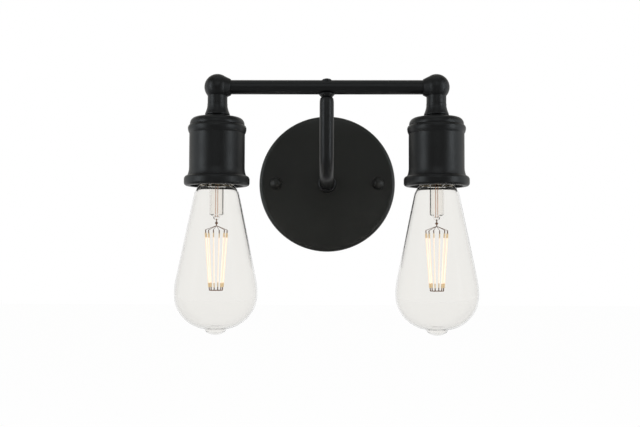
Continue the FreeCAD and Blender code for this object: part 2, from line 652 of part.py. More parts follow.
def make_arm_fixing():
    keep("arm_collar", turned("arm_collar", [
        ("tube_radius + fit_gap", "0"),
        ("collar_radius", "0"),
        ("collar_radius", "collar_height - collar_round"),
        ("collar_radius - collar_round", "collar_height", "collar_round", 1),
        ("tube_radius + fit_gap", "collar_height"),
    ], y="-plate_depth", turn=TO_FRONT))
    ring = rod("terminal_ring", "terminal_radius", "terminal_thickness", y="-plate_back + terminal_thickness",
               turn=TO_FRONT)
    tail = primitive("Box", "terminal_tail",
                     {"Length": "ground_screw_place", "Width": "terminal_thickness",
                      "Height": "4 * lead_radius"},
                     y="-plate_back", z="-2 * lead_radius")
    hole = rod("terminal_hole", "thread_radius + fit_gap", "plate_back", turn=TO_FRONT)
    keep("ground_terminal", cut("ground_terminal", fuse("terminal_blank", ring, tail), hole))
    washer_back = "-plate_back + terminal_thickness + washer_thickness"
    disc = rod("washer_disc", "washer_radius", "washer_thickness", y=washer_back, turn=TO_FRONT)
    bore = rod("washer_bore", "thread_radius + fit_gap", "plate_back", turn=TO_FRONT)
    keep("arm_lock_washer", cut("arm_lock_washer", disc, bore))
    keep("arm_nut", hex_nut("arm_nut", "pipe_nut_corner", "pipe_nut_height", "thread_radius + fit_gap",
                            y=washer_back + " + pipe_nut_height", turn=TO_FRONT))


def across_bar(name, reach):
    """A cutter as wide as the crossbar, along it and over the middle of the arm."""
    return rod(name, "tube_radius + fit_gap", f"2 * ({reach})", x=f"-({reach})", y="-bar_reach",
               z="bar_height", turn=FreeCAD.Rotation(FreeCAD.Vector(0, 1, 0), 90))


def make_saddle():
    """The seat between arm and crossbar: a spigot in the arm, a neck and a cup-shaped saddle."""
    blank = turned("saddle", [
        ("0", "-arm_top_gap - spigot_length"),
        ("tube_bore - fit_gap", "-arm_top_gap - spigot_length"),
        ("tube_bore - fit_gap", "-arm_top_gap - fit_gap"),
        ("saddle_neck", "-arm_top_gap"),
        ("saddle_radius", "-saddle_drop - saddle_edge"),
        ("saddle_radius", "-saddle_drop"),
        ("0", "-saddle_drop"),
    ], y="-bar_reach", z="bar_height")
    lead_way = rod("saddle_lead_way", "lead_bore", "arm_top_gap + spigot_length",
                   y="-bar_reach", z="bar_height - arm_top_gap - spigot_length - cut_overrun")
    keep("hub_saddle", cut("hub_saddle", blank, across_bar("saddle_bar_way", "saddle_radius + cut_overrun"),
                           lead_way))


def make_plug():
    """The domed plug in the hole that the leads are drawn through, in the crossbar's top."""
    head = turned("plug_head", [
        ("0", "tube_bore"),
        ("plug_radius", "tube_bore"),
        ("plug_radius", "tube_radius + plug_edge"),
        ("0", "tube_radius + plug_crown", dome("plug_radius", "plug_crown - plug_edge"), 1),
    ], y="-bar_reach", z="bar_height")
    seated = cut("plug_head_seated", head, across_bar("plug_bar_way", "plug_radius + cut_overrun"))
    shank = rod("plug_shank", "lead_bore - fit_gap", "tube_wall + plug_crown / 2",
                y="-bar_reach", z="bar_height + tube_bore")
    keep("crossbar_plug", fuse("crossbar_plug", seated, shank))


def make_bar():
    along = FreeCAD.Rotation(FreeCAD.Vector(0, 1, 0), 90)
    start = "-lamp_place + bar_end_gap"
    length = "lamp_spacing - 2 * bar_end_gap"
    tube = rod("bar_blank", "tube_radius", length, x=start, y="-bar_reach", z="bar_height", turn=along)
    bore = rod("bar_bore", "tube_bore", length + " + 2 * cut_overrun", x=start + " - cut_overrun",
               y="-bar_reach", z="bar_height", turn=along)
    lead_way = rod("bar_lead_way", "lead_bore", "2 * tube_radius + 2 * cut_overrun",
                   y="-bar_reach", z="bar_height - tube_radius - cut_overrun")
    keep("crossbar_tube", cut("crossbar_tube", tube, bore, lead_way))


# Ball, neck and cup, one set for each lamp

def at_lamp(sign, height="0"):
    """Keyword places for a piece on a lamp's axis."""
    return {"x": f"{sign} * lamp_place", "y": "-bar_reach", "z": height}


def make_end_ball(side, sign):
    neck_start = "sqrt(end_ball_radius ^ 2 - neck_radius ^ 2)"
    blank = turned(f"end_ball_blank_{side}", [
        ("0", "-neck_drop"),
        ("neck_radius", "-neck_drop"),
        ("neck_radius", f"-{neck_start}"),
        ("end_ball_radius", "0", "end_ball_radius", 1),
        ("0", "end_ball_radius", "end_ball_radius", 1),
    ], **at_lamp(sign, "bar_height"))
    bar_way = rod(f"end_ball_bar_way_{side}", "tube_radius + fit_gap",
                  "end_ball_radius + bar_end_gap + cut_overrun",
                  x=f"{sign} * (lamp_place - bar_end_gap)", y="-bar_reach", z="bar_height",
                  turn=FreeCAD.Rotation(FreeCAD.Vector(0, 1, 0), -90 * sign))
    crossing = rod(f"end_ball_crossing_{side}", "tube_bore", "bar_end_gap + nipple_bore / 2",
                   x=f"{sign} * (lamp_place + nipple_bore / 2)", y="-bar_reach", z="bar_height",
                   turn=FreeCAD.Rotation(FreeCAD.Vector(0, 1, 0), -90 * sign))
    nipple_way = rod(f"end_ball_nipple_way_{side}", "thread_radius + fit_gap",
                     "neck_drop - nipple_top_drop + cut_overrun",
                     **at_lamp(sign, "bar_height - neck_drop - cut_overrun"))
    lead_way = rod(f"end_ball_lead_way_{side}", "nipple_bore", "nipple_top_drop",
                   **at_lamp(sign, "bar_height - nipple_top_drop"))
    keep(f"end_ball_{side}", cut(f"end_ball_{side}", blank, bar_way, crossing, nipple_way, lead_way))


def make_nipple(side, sign):
    where = at_lamp(sign, "nipple_foot")
    blank = rod(f"nipple_blank_{side}", "thread_radius", "bar_height - nipple_top_drop - nipple_foot", **where)
    bore = rod(f"nipple_bore_{side}", "nipple_bore", "bar_height", **at_lamp(sign, "nipple_foot - cut_overrun"))
    keep(f"nipple_{side}", cut(f"nipple_{side}", blank, bore))


def make_flare(side, sign):
    keep(f"neck_flare_{side}", turned(f"neck_flare_{side}", [
        ("thread_radius + fit_gap", "-neck_drop"),
        ("thread_radius + fit_gap", "-cup_top_drop"),
        ("flare_foot", "-cup_top_drop"),
        ("flare_foot", "-flare_foot_drop"),
        ("flare_lip", "-flare_lip_drop", "flare_lip_round", 1),
        ("flare_radius", "-flare_bend_drop", "flare_sweep", -1),
        ("flare_radius", "-neck_drop"),
    ], **at_lamp(sign, "bar_height")))


def make_cup(side, sign):
    where = at_lamp(sign, "bar_height")
    inside = "cup_radius - cup_wall - fit_gap"
    keep(f"cup_lid_{side}", turned(f"cup_lid_{side}", [
        ("thread_radius + fit_gap", "-cup_top_drop"),
        ("thread_radius + fit_gap", "-cup_top_drop - cup_lid_wall"),
        ("cup_lid_radius - cup_lid_round", "-cup_top_drop - cup_lid_wall"),
        (f"{inside} - cup_wall", "-cup_top_drop - cup_lid_round",
         "cup_lid_round - cup_lid_wall + fit_gap", -1),
        (f"{inside} - cup_wall", "-cup_seam_drop - cup_lap"),
        (inside, "-cup_seam_drop - cup_lap"),
        (inside, "-cup_seam_drop"),
        ("cup_lid_radius", "-cup_seam_drop"),
        ("cup_lid_radius", "-cup_top_drop - cup_lid_round"),
        ("cup_lid_radius - cup_lid_round", "-cup_top_drop", "cup_lid_round", 1),
    ], **where))
    keep(f"cup_body_{side}", turned(f"cup_body_{side}", [
        ("cup_radius - cup_wall", "-cup_seam_drop"),
        ("cup_radius - cup_wall", "-rim_drop"),
        ("rim_radius - rim_round", "-rim_drop"),
        ("rim_radius", "-rim_drop + rim_round", "rim_round", 1),
        ("rim_radius", "-foot_drop - rim_shoulder"),
        ("foot_radius", "-foot_drop", "rim_shoulder_sweep", 1),
        ("cup_radius", "-foot_start_drop", "foot_sweep", -1),
        ("cup_radius", "-bead_end_drop"),
        ("bead_radius", "-bead_drop", "bead_lower_sweep", 1),
        ("cup_lid_radius", "-cup_seam_drop", "bead_upper_sweep", 1),
    ], **where))
    keep(f"cup_nut_{side}", hex_nut(f"cup_nut_{side}", "pipe_nut_corner", "pipe_nut_height",
                                    "thread_radius + fit_gap", turn=UPSIDE_DOWN,
                                    **at_lamp(sign, "cup_top - cup_lid_wall")))


# Lampholder

def make_porcelain(side, sign):
    """The lampholder's bored body, and the block over it that carries the terminals."""
    keep(f"lampholder_body_{side}", turned(f"lampholder_body_{side}", [
        ("porcelain_bore", "porcelain_seat"),
        ("porcelain_bore", "porcelain_foot"),
        ("porcelain_radius - porcelain_round", "porcelain_foot"),
        ("porcelain_radius", "porcelain_foot + porcelain_round", "porcelain_round", 1),
        ("porcelain_radius", "porcelain_seat"),
    ], **at_lamp(sign)))
    blank = rod(f"terminal_block_{side}", "porcelain_radius", "porcelain_floor",
                **at_lamp(sign, "porcelain_seat"))
    holes = [rod(f"terminal_hole_{side}", "terminal_shank + fit_gap", "porcelain_floor + 2 * cut_overrun",
                 **terminal_at(sign, row, "porcelain_seat - cut_overrun")) for row in (-1, 1)]
    keep(f"lampholder_block_{side}", cut(f"lampholder_block_{side}", blank, *holes))


def terminal_at(sign, row, height):
    """Keyword places of a lampholder's front (-1) or back (1) terminal screw."""
    return {"x": f"{sign} * lamp_place - {row} * (terminal_shank + lead_radius + fit_gap)",
            "y": f"-bar_reach + {row} * terminal_place", "z": height}


def make_holder_cap(side, sign):
    inside = "porcelain_radius + fit_gap"
    ceiling = "porcelain_top + holder_cap_room"
    keep(f"lampholder_cap_{side}", turned(f"lampholder_cap_{side}", [
        ("thread_radius + fit_gap", "bush_top"),
        ("thread_radius + fit_gap", "bush_top - bush_height"),
        ("bush_radius", "bush_top - bush_height"),
        ("bush_radius", ceiling),
        (f"{inside} - holder_cap_round + holder_cap_wall", ceiling),
        (inside, f"{ceiling} - holder_cap_round + holder_cap_wall", "holder_cap_round - holder_cap_wall", -1),
        (inside, "porcelain_top - holder_cap_lap"),
        (f"{inside} + holder_cap_wall", "porcelain_top - holder_cap_lap"),
        (f"{inside} + holder_cap_wall", "holder_cap_top - holder_cap_round"),
        (f"{inside} + holder_cap_wall - holder_cap_round", "holder_cap_top", "holder_cap_round", 1),
        ("bush_radius", "holder_cap_top"),
        ("bush_radius", "bush_top"),
    ], **at_lamp(sign)))


def make_terminals(side, sign):
    screws = []
    for row in (-1, 1):
        shank = rod(f"terminal_shank_{side}", "terminal_shank",
                    "porcelain_floor + 2 * lead_radius + 2 * fit_gap",
                    **terminal_at(sign, row, "porcelain_seat"))
        head = rod(f"terminal_head_{side}", "terminal_head", "terminal_head_height",
                   **terminal_at(sign, row, "porcelain_top + 2 * lead_radius + 2 * fit_gap"))
        screws.append(fuse(f"terminal_screw_{side}", shank, head))
    keep(f"terminal_screws_{side}", group(f"terminal_screws_{side}", *screws))


def ridge(name, radius, start):
    """The round ridge of a rolled thread: a rod wound round the Z axis."""
    helix = doc.addObject("Part::Helix", name + "_line")
    set_sizes(helix, {"Pitch": "thread_pitch", "Height": "thread_pitch * thread_turns", "Radius": radius})
    put(helix, z=start)
    ring = primitive("Circle", name + "_section", {"Radius": "ridge_radius"}, x=radius, z=start,
                     turn=TO_FRONT)
    winding = doc.addObject("Part::Sweep", name)
    winding.Sections = [ring]
    winding.Spine = (helix, [])
    winding.Solid = True
    winding.Frenet = True
    start_turn = FreeCAD.Rotation(FreeCAD.Vector(0, 0, 1), value("ridge_turn"))
    winding.Placement = FreeCAD.Placement(FreeCAD.Vector(0, 0, 0), start_turn)
    return winding


def make_screw_shell(side, sign):
    outside = "shell_radius + shell_wall"
    tube = turned(f"screw_shell_tube_{side}", [
        ("contact_hole", "porcelain_seat - shell_wall"),
        ("shell_radius", "porcelain_seat - shell_wall"),
        ("shell_radius", "porcelain_foot + shell_foot"),
        (outside, "porcelain_foot + shell_foot"),
        (outside, "porcelain_seat"),
        ("contact_hole", "porcelain_seat"),
    ])
    thread = ridge(f"screw_shell_ridge_{side}", "shell_radius + shell_wall / 2", "shell_thread")
    shell = fuse(f"lampholder_shell_{side}", tube, thread)
    keep(f"lampholder_shell_{side}", put(shell, **at_lamp(sign)))


def make_contact_strip(side, sign):
    """A bent strip that hangs from the porcelain over the bulb's contact."""
    body = doc.addObject("PartDesign::Body", f"contact_strip_body_{side}")
    sketch = new_sketch(body, f"contact_strip_bends_{side}", "YZ_Plane")
    low = "contact_top + contact_gap"
    reach = "(contact_hole - terminal_shank)"
    draw(sketch, [
        (f"-{reach}", "porcelain_seat"),
        (f"-{reach}", "porcelain_seat - strip_thickness"),
        (f"-{reach} / 2", "porcelain_seat - strip_thickness"),
        (f"{reach} / 2 - strip_thickness", low),
        (reach, low),
        (reach, f"{low} + strip_thickness"),
        (f"{reach} / 2", f"{low} + strip_thickness"),
        (f"-{reach} / 2 + strip_thickness", "porcelain_seat"),
    ])
    pad = body.newObject("PartDesign::Pad", f"contact_strip_pad_{side}")
    pad.Profile = sketch
    pad.Midplane = True
    set_sizes(pad, {"Length": "strip_width"})
    keep(f"lampholder_contact_{side}", put(body, **at_lamp(sign)))


# Bulb

def make_bulb_base(side, sign):
    inside = "base_radius - base_wall"
    blank = turned(f"bulb_base_tube_{side}", [
        ("base_mouth", "base_top"),
        ("base_mouth", "base_top - base_wall"),
        (f"{inside} - base_round + base_wall", "base_top - base_wall"),
        (inside, "base_top - base_round", "base_round - base_wall", -1),
        (inside, "base_foot"),
        ("base_flare", "base_foot"),
        ("base_flare", "base_foot + base_wall"),
        ("base_radius", "base_foot + base_wall * 3"),
        ("base_radius", "base_top - base_round"),
        ("base_radius - base_round", "base_top", "base_round", 1),
    ])
    thread = ridge(f"bulb_base_ridge_{side}", "base_radius - base_wall / 2", "base_thread")
    keep(f"bulb_base_{side}", put(fuse(f"bulb_base_{side}", blank, thread), **at_lamp(sign)))


def make_bulb_contact(side, sign):
    keep(f"bulb_insulator_{side}", turned(f"bulb_insulator_{side}", [
        ("0", "base_top - insulator_plug"),
        ("base_mouth - turn_gap", "base_top - insulator_plug"),
        ("base_mouth - turn_gap", "base_top"),
        ("insulator_top", "base_top + insulator_height"),
        ("0", "base_top + insulator_height"),
    ], **at_lamp(sign)))
    keep(f"bulb_contact_{side}", turned(f"bulb_contact_{side}", [
        ("0", "base_top + insulator_height"),
        ("contact_radius", "base_top + insulator_height"),
        ("0", "contact_top", dome("contact_radius", "contact_height"), 1),
    ], **at_lamp(sign)))


def glass_side(inset):
    """One face of the bulb's glass from its neck down to its tip, set in by a wall or not at all."""
    return [
        (f"glass_neck - {inset}", "glass_neck_height"),
        (f"glass_neck - {inset}", "fit_gap - glass_lip_drop"),
        (f"glass_lip - {inset}", f"-glass_lip_drop - {inset}"),
        (f"shoulder_radius - {inset}", "-shoulder_drop", f"shoulder_sweep - {inset} / 2", -1),
        (f"cone_radius - {inset}", "-cone_drop"),
        (f"glass_radius - {inset}", "-belly_drop", f"upper_sweep - {inset}", -1),
        (f"tip_root - {inset}", f"-tip_drop + {inset}", f"bottom_sweep - {inset}", -1),
    ]


def make_glass(side, sign):
    outside = glass_side("0")
    outside += [
        ("tip_radius", "-tip_drop - tip_length / 3"),
        ("0", "-tip_drop - tip_length", dome("tip_radius", "tip_length * 2 / 3"), -1),
    ]
    inside = backwards(glass_side("glass_wall"))
    outline = [("0", "-tip_drop + glass_wall / 2")] + inside + outside
    keep(f"bulb_glass_{side}", turned(f"bulb_glass_{side}", outline, **at_lamp(sign, "base_foot")))


def make_stem(side, sign):
    neck = "glass_neck - glass_wall - fit_gap"
    keep(f"bulb_stem_{side}", turned(f"bulb_stem_{side}", [
        (neck, "glass_neck_height"),
        (neck, "glass_neck_height - stem_wall"),
        ("stem_radius", "glass_neck_height - stem_radius"),
        ("stem_radius", "-stem_flare_drop"),
        ("stem_pinch", "-stem_drop + stem_pinch"),
        ("0", "-stem_drop", "stem_pinch", -1),
        ("0", "-stem_flare_drop - stem_wall"),
        ("stem_radius - stem_wall", "-stem_flare_drop"),
        ("stem_radius - stem_wall", "glass_neck_height - stem_radius + stem_wall"),
    ], **at_lamp(sign, "base_foot")))


def filament_ends(sign, number):
    """The upper and lower end of one filament, and the outward direction there."""
    turn = math.radians(value("filament_turn") + number * 360 / value("filament_count"))
    outward = FreeCAD.Vector(math.cos(turn), math.sin(turn), 0)
    middle = FreeCAD.Vector(sign * value("lamp_place"), -value("bar_reach"), value("base_foot"))
    top = middle + outward * value("filament_top_ring") - FreeCAD.Vector(0, 0, value("filament_drop"))
    low = middle + outward * value("filament_low_ring") - FreeCAD.Vector(0, 0, value("filament_end"))
    return top, low


def make_filaments(side, sign):
    """Upright filament strips on a circle, and the wires that carry them."""
    middle = FreeCAD.Vector(sign * value("lamp_place"), -value("bar_reach"), value("base_foot"))
    down = FreeCAD.Vector(0, 0, -1)
    tab_length = value("tab_length")
    wire_radius = value("wire_radius")
    knot_radius = value("knot_radius")
    knot_top = middle + down * value("stem_drop")
    knot = knot_top + down * (value("knot_length") - knot_radius)
    strips = []
    upper = [Part.makeCylinder(knot_radius, value("knot_length"), knot_top, down)]
    lower = []
    for number in range(int(value("filament_count"))):
        top, low = filament_ends(sign, number)
        along = (low - top).normalize()
        strips.append(Part.makeCylinder(value("filament_radius"), (low - top).Length, top, along))
        corner = top - along * tab_length
        upper.append(Part.makeCylinder(wire_radius, tab_length, corner, along))
        upper.append(Part.makeSphere(value("wire_joint"), corner))
        upper.append(Part.makeCylinder(wire_radius, (corner - knot).Length, knot, corner - knot))
        lower.append(Part.makeCylinder(wire_radius, tab_length, low, along))
    ring_middle = middle + down * (middle.z - low.z + tab_length * -along.z)
    ring_radius = (low + along * tab_length - ring_middle).Length
    lower.append(Part.makeTorus(ring_radius, value("wire_joint"), ring_middle))
    wires(f"bulb_filaments_{side}", strips)
    wires(f"bulb_supports_{side}", [upper[0].multiFuse(upper[1:]), lower[0].multiFuse(lower[1:])])


def make_driver(side, sign):
    top = "base_top - insulator_plug - contact_gap"
    board = primitive("Box", f"driver_board_{side}",
                      {"Length": "driver_width", "Width": "driver_thickness", "Height": "driver_height"},
                      x=f"{sign} * lamp_place - driver_width / 2", y="-bar_reach - driver_thickness / 2",
                      z=f"{top} - driver_height")
    part = rod(f"driver_part_{side}", "driver_part_radius", "driver_part_height",
               x=f"{sign} * lamp_place", y="-bar_reach - driver_part_radius",
               z=f"{top} - driver_height")
    keep(f"bulb_driver_{side}", fuse(f"bulb_driver_{side}", board, part))


# Leads and their splices behind the backplate

def make_leads(side, sign):
    """The two leads of one lamp: terminal, nipple, crossbar, arm and splice."""
    axis = sign * value("lamp_place")
    reach = -value("bar_reach")
    step = value("lead_step")
    floor = value("porcelain_top + lead_radius + fit_gap")
    for colour, row in (("black", -1), ("white", 1)):
        depth = reach + row * step
        inner = sign * step
        points = [
            FreeCAD.Vector(axis, reach + row * value("terminal_place + terminal_shank"), floor),
            FreeCAD.Vector(axis, depth, floor),
            FreeCAD.Vector(axis, depth, value("bar_height")),
            FreeCAD.Vector(inner, depth, value("bar_height")),
            FreeCAD.Vector(inner, depth, row * step),
            FreeCAD.Vector(inner, -value("lead_rise"), row * step),
            FreeCAD.Vector(inner, -value("lead_rise"), row * value("splice_place + splice_depth")),
        ]
        radii = [value("lead_hook"), value("lead_bend"), value("lead_bend"),
                 value("bend_radius") - row * step, value("lead_bend")]
        wires(f"lead_{colour}_{side}", [lead_solid(f"lead_{colour}_{side}", points, radii)])


def make_connectors():
    connectors = []
    for name, row in (("black", -1), ("white", 1)):
        turn = UPRIGHT if row > 0 else UPSIDE_DOWN
        connectors.append(turned(f"connector_{name}", [
            ("0", "connector_length"),
            ("0", "splice_depth + fit_gap"),
            ("connector_bore", "splice_depth + fit_gap"),
            ("connector_bore", "0"),
            ("connector_mouth", "0"),
            ("connector_mouth", "connector_length / 3"),
            ("connector_tip", "connector_length"),
        ], y="-lead_rise", z=f"{row} * splice_place", turn=turn))
    keep("wire_connectors", group("wire_connectors", *connectors))


def make_ground_lead():
    """From the terminal on the arm's thread to the ground screw on the strap."""
    back = -value("plate_back - terminal_thickness - lead_radius")
    seat = -value("strap_thickness + lead_radius")
    place = value("ground_screw_place")
    beside = place + value("ground_screw_radius + lead_radius")
    drop = -value("strap_width")
    points = [
        FreeCAD.Vector(place - value("terminal_shank"), back, 0),
        FreeCAD.Vector(place + value("lead_bend * 2"), back, 0),
        FreeCAD.Vector(place + value("lead_bend * 2"), back / 2, drop),
        FreeCAD.Vector(beside, seat, drop),
        FreeCAD.Vector(beside, seat, value("ground_screw_radius")),
    ]
    radii = [value("lead_bend"), value("lead_bend"), value("lead_hook")]
    wires("ground_lead", [lead_solid("ground_lead", points, radii)])


def build():
    make_backplate()
    make_strap()
    make_studs()
    make_cap_nuts()
    make_ground_screw()
    make_arm()
    make_arm_fixing()
    make_saddle()
    make_bar()
    make_plug()
    make_connectors()
    make_ground_lead()
    for side, sign in SIDES:
        make_end_ball(side, sign)
        make_nipple(side, sign)
        make_flare(side, sign)
        make_cup(side, sign)
        make_porcelain(side, sign)
        make_holder_cap(side, sign)
        make_terminals(side, sign)
        make_screw_shell(side, sign)
        make_contact_strip(side, sign)
        make_leads(side, sign)
        make_bulb_base(side, sign)
        make_bulb_contact(side, sign)
        make_glass(side, sign)
        make_stem(side, sign)
        make_filaments(side, sign)
        make_driver(side, sign)
    doc.recompute()


def check_and_write():
    """Stop if anything failed, and write each piece to its own file."""
    faults = [item.Label for item in doc.Objects if {"Invalid", "Error"} & set(item.State)]
    faults += [label for label, item in nodes.items() if item.Shape.isNull() or not item.Shape.isValid()]
    if faults:
        raise RuntimeError("not built: " + ", ".join(faults))
    os.makedirs("parts", exist_ok=True)
    for label, item in nodes.items():
        item.Shape.exportStep(f"parts/{label}.step")
        print(f"{label}: {len(item.Shape.Solids)} solids, {item.Shape.Volume:.1f} cubic mm")
    print(len(nodes), "pieces")


build()
check_and_write()
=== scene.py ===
import math

import bmesh
import bpy
from mathutils import Euler, Matrix, Vector


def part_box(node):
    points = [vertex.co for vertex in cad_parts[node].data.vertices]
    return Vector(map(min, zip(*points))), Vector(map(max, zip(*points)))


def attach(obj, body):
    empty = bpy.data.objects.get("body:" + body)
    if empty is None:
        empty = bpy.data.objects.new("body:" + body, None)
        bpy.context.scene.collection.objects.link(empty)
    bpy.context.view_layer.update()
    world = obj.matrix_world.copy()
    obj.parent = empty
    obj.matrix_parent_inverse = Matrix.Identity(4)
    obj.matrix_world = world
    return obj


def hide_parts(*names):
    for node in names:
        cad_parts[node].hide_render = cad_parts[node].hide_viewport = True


bl_info = {
    "name": "Two-light wall sconce",
    "version": (1, 0, 0),
    "blender": (4, 5, 0),
    "location": "3D View > Sidebar > Sconce",
    "description": "Dresses a black wall sconce with two hanging filament bulbs",
    "category": "Object",
}

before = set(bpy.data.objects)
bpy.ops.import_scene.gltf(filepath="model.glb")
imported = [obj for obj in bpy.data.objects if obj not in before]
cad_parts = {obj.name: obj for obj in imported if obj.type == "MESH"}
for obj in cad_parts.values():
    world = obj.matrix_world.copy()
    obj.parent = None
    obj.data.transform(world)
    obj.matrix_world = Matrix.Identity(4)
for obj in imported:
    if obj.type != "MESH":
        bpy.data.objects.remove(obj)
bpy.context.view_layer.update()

MM = 0.001
TINY = 1e-7
FIT = 0.05 * MM  # play between two pieces, one inside the other
SIDES = {"left": -1, "right": 1}
ACROSS = Vector((1, 0, 0))
UP = Vector((0, 0, 1))
DOWN = Vector((0, 0, -1))
ROOM = Vector((0, -1, 0))
WHITE = (1, 1, 1, 1)
BLACK = (0, 0, 0, 1)
FIXTURE = "fixture"
PHOTO_WIDTH = 640

# How finely round shapes are divided
ARC_STEP = math.radians(5)
END_STEPS = 8
BEND_STEPS = 24
RING = 128
PLATE_RING = 256
NUT_RING = 96
GRIP_RING = 180
GRIP_FLUTES = 18
CUP_RING = 160
TUBE_RING = 96
STEM_RING = 64
STRIP_RING = 24
STRIP_PARTS = 12
HOOP_RING = 64
KNOT_RING = 20
KNOT_ROWS = 12
KNOT_FLATNESS = 0.8
LEAD_RING = 16
WIRE_RING = 12

# An outline's corners sharper than SHARP are rounded, by up to CORNER_SHARE of their two runs
SHARP = math.radians(24)
CORNER_SHARE = 0.3
CORNER_STEPS = (0.0, 0.25, 0.5, 0.75, 1.0)
LONG_RUN = 6
CREASE = math.radians(40)

# How the finishes vary: ranges of noise, sizes as numbers of grains, and shares
NOISE_RANGE = (0.3, 0.7)
BROAD_DETAIL = 3.0
FINE_DETAIL = 2.0
PLAIN_DETAIL = 1.0
BROAD_GRAINS = 9
BROAD_SHARE = 0.6
ROUGH_SWING = 0.15
SPECK_GRAINS = 2.5
SPECK_RANGE = (0.55, 0.75)
SPECK_SHARE = 0.5
CLOUD_SHARE = 0.3
PAINT_SWING = 0.08
PEEL_ROUGHNESS = 0.6
PEEL_STRENGTH = 0.6
CHIP_SIZE = 1.6 * MM
CHIP_RANGE = (0.35, 0.65)
CHIP_SHARE = 0.25
GLOW_FADE = 0.3 * MM
EDGE_FROM = 0.3
EDGE_TO = 0.6


# Places and sizes read from the CAD parts of model.glb

def low(node):
    """The lowest corner of a CAD node's box."""
    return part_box(node)[0]


def high(node):
    """The highest corner of a CAD node's box."""
    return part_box(node)[1]


def middle(node):
    """The middle of a CAD node's box."""
    return (low(node) + high(node)) / 2


def span(node):
    """The size of a CAD node's box."""
    return high(node) - low(node)


def lamp_point(side, height):
    """A point on one lamp's axis."""
    axis = middle("end_ball_" + side)
    return Vector((middle("nipple_" + side).x, axis.y, height))


BAR_AXIS = middle("crossbar_tube").z
TUBE_RADIUS = span("crossbar_tube").z / 2


# Settings

def length(name, description, default):
    """A distance that a user may change."""
    return bpy.props.FloatProperty(name=name, description=description, default=default, min=0.0,
                                   subtype="DISTANCE", unit="LENGTH")


def colour(name, description, default):
    """A colour that a user may change."""
    return bpy.props.FloatVectorProperty(name=name, description=description, default=default, size=4,
                                         min=0.0, max=1.0, subtype="COLOR")


def share(name, description, default, most=1.0):
    """A plain number that a user may change."""
    return bpy.props.FloatProperty(name=name, description=description, default=default, min=0.0, max=most)


def angle(name, description, default):
    """An angle that a user may change."""
    return bpy.props.FloatProperty(name=name, description=description, default=default, subtype="ANGLE")


def point(name, description, default):
    """A place that a user may change."""
    return bpy.props.FloatVectorProperty(name=name, description=description, default=default, size=3,
                                         subtype="TRANSLATION", unit="LENGTH")


def area(name, description, default):
    """The width and height of a light, which a user may change."""
    return bpy.props.FloatVectorProperty(name=name, description=description, default=default, size=2,
                                         min=0.0, unit="LENGTH")


class MetalworkSettings(bpy.types.PropertyGroup):
    """Sizes of the painted metalwork that its boxes don't give."""
    plate_wall: length("Plate wall", "Thickness of the backplate's sheet", 1.0 * MM)
    plate_edge: length("Plate edge", "Rounding of the backplate's rim", 3.5 * MM)
    break_edge: length("Edge break", "Small rounding of every turned edge", 0.3 * MM)
    bend: length("Arm bend", "Radius of the arm's elbow along its centre line", 15.0 * MM)
    arm_end_draw: length("Arm end", "How much the arm's upper end is drawn in", 0.95 * MM)
    arm_end_run: length("Arm end run", "Length of arm that is drawn in", 4.5 * MM)
    tube_wall: length("Tube wall", "Wall of the arm and the crossbar", 1.2 * MM)
    thread: length("Thread", "Outer radius of the threaded tube ends", 5.0 * MM)
    collar_round: length("Collar round", "Outer rounding of the collar", 1.6 * MM)
    nut_flange: length("Cap nut flange", "Thickness of a cap nut's flange", 1.2 * MM)
    nut_dome: length("Cap nut dome", "Radius of a cap nut's dome at its root", 4.9 * MM)
    neck: length("Neck", "Radius of the neck under each ball", 7.65 * MM)
    flare_top: length("Flare top", "Radius of the flared collar at the neck", 7.8 * MM)
    flare_bend: length("Flare start", "Neck's end down to the start of the flare", 2.0 * MM)
    flare_sweep: length("Flare sweep", "Radius of the flare's hollow side", 22.0 * MM)
    flare_lip: length("Flare lip", "Neck's end down to the flare's widest place", 7.9 * MM)
    flare_foot: length("Flare foot", "Radius of the flared collar's foot", 8.6 * MM)
    flare_foot_drop: length("Flare foot drop", "Neck's end down to the foot", 9.4 * MM)
    flare_under: length("Flare underside", "Rounding under the flare's lip", 1.1 * MM)
    boss_root: length("Boss root", "Radius of a ball's boss where it leaves the ball", 8.65 * MM)
    boss_start: length("Boss start", "Ball's middle to the boss's root", 5.4 * MM)
    boss_end: length("Boss end", "Radius of the boss's end round the crossbar", 6.3 * MM)
    boss_length: length("Boss length", "Ball's middle to the boss's end", 10.3 * MM)
    connector: length("Connector", "Length of a wire connector", 21.0 * MM)
    connector_bore: length("Connector bore", "Radius of a wire connector's bore", 2.4 * MM)
    connector_depth: length("Connector depth", "Depth of a wire connector's bore", 13.0 * MM)
    connector_bevel: length("Connector bevel", "Rounding of a wire connector's edges", 0.8 * MM)
    connector_skirt: share("Connector skirt", "Share of a connector that is its smooth skirt", 0.30)
    connector_tip: share("Connector tip", "Radius of a connector's tip as a share of its mouth's", 0.64)
    connector_flute: share("Connector flutes", "Depth of a connector's flutes as a share of its radius", 0.09)


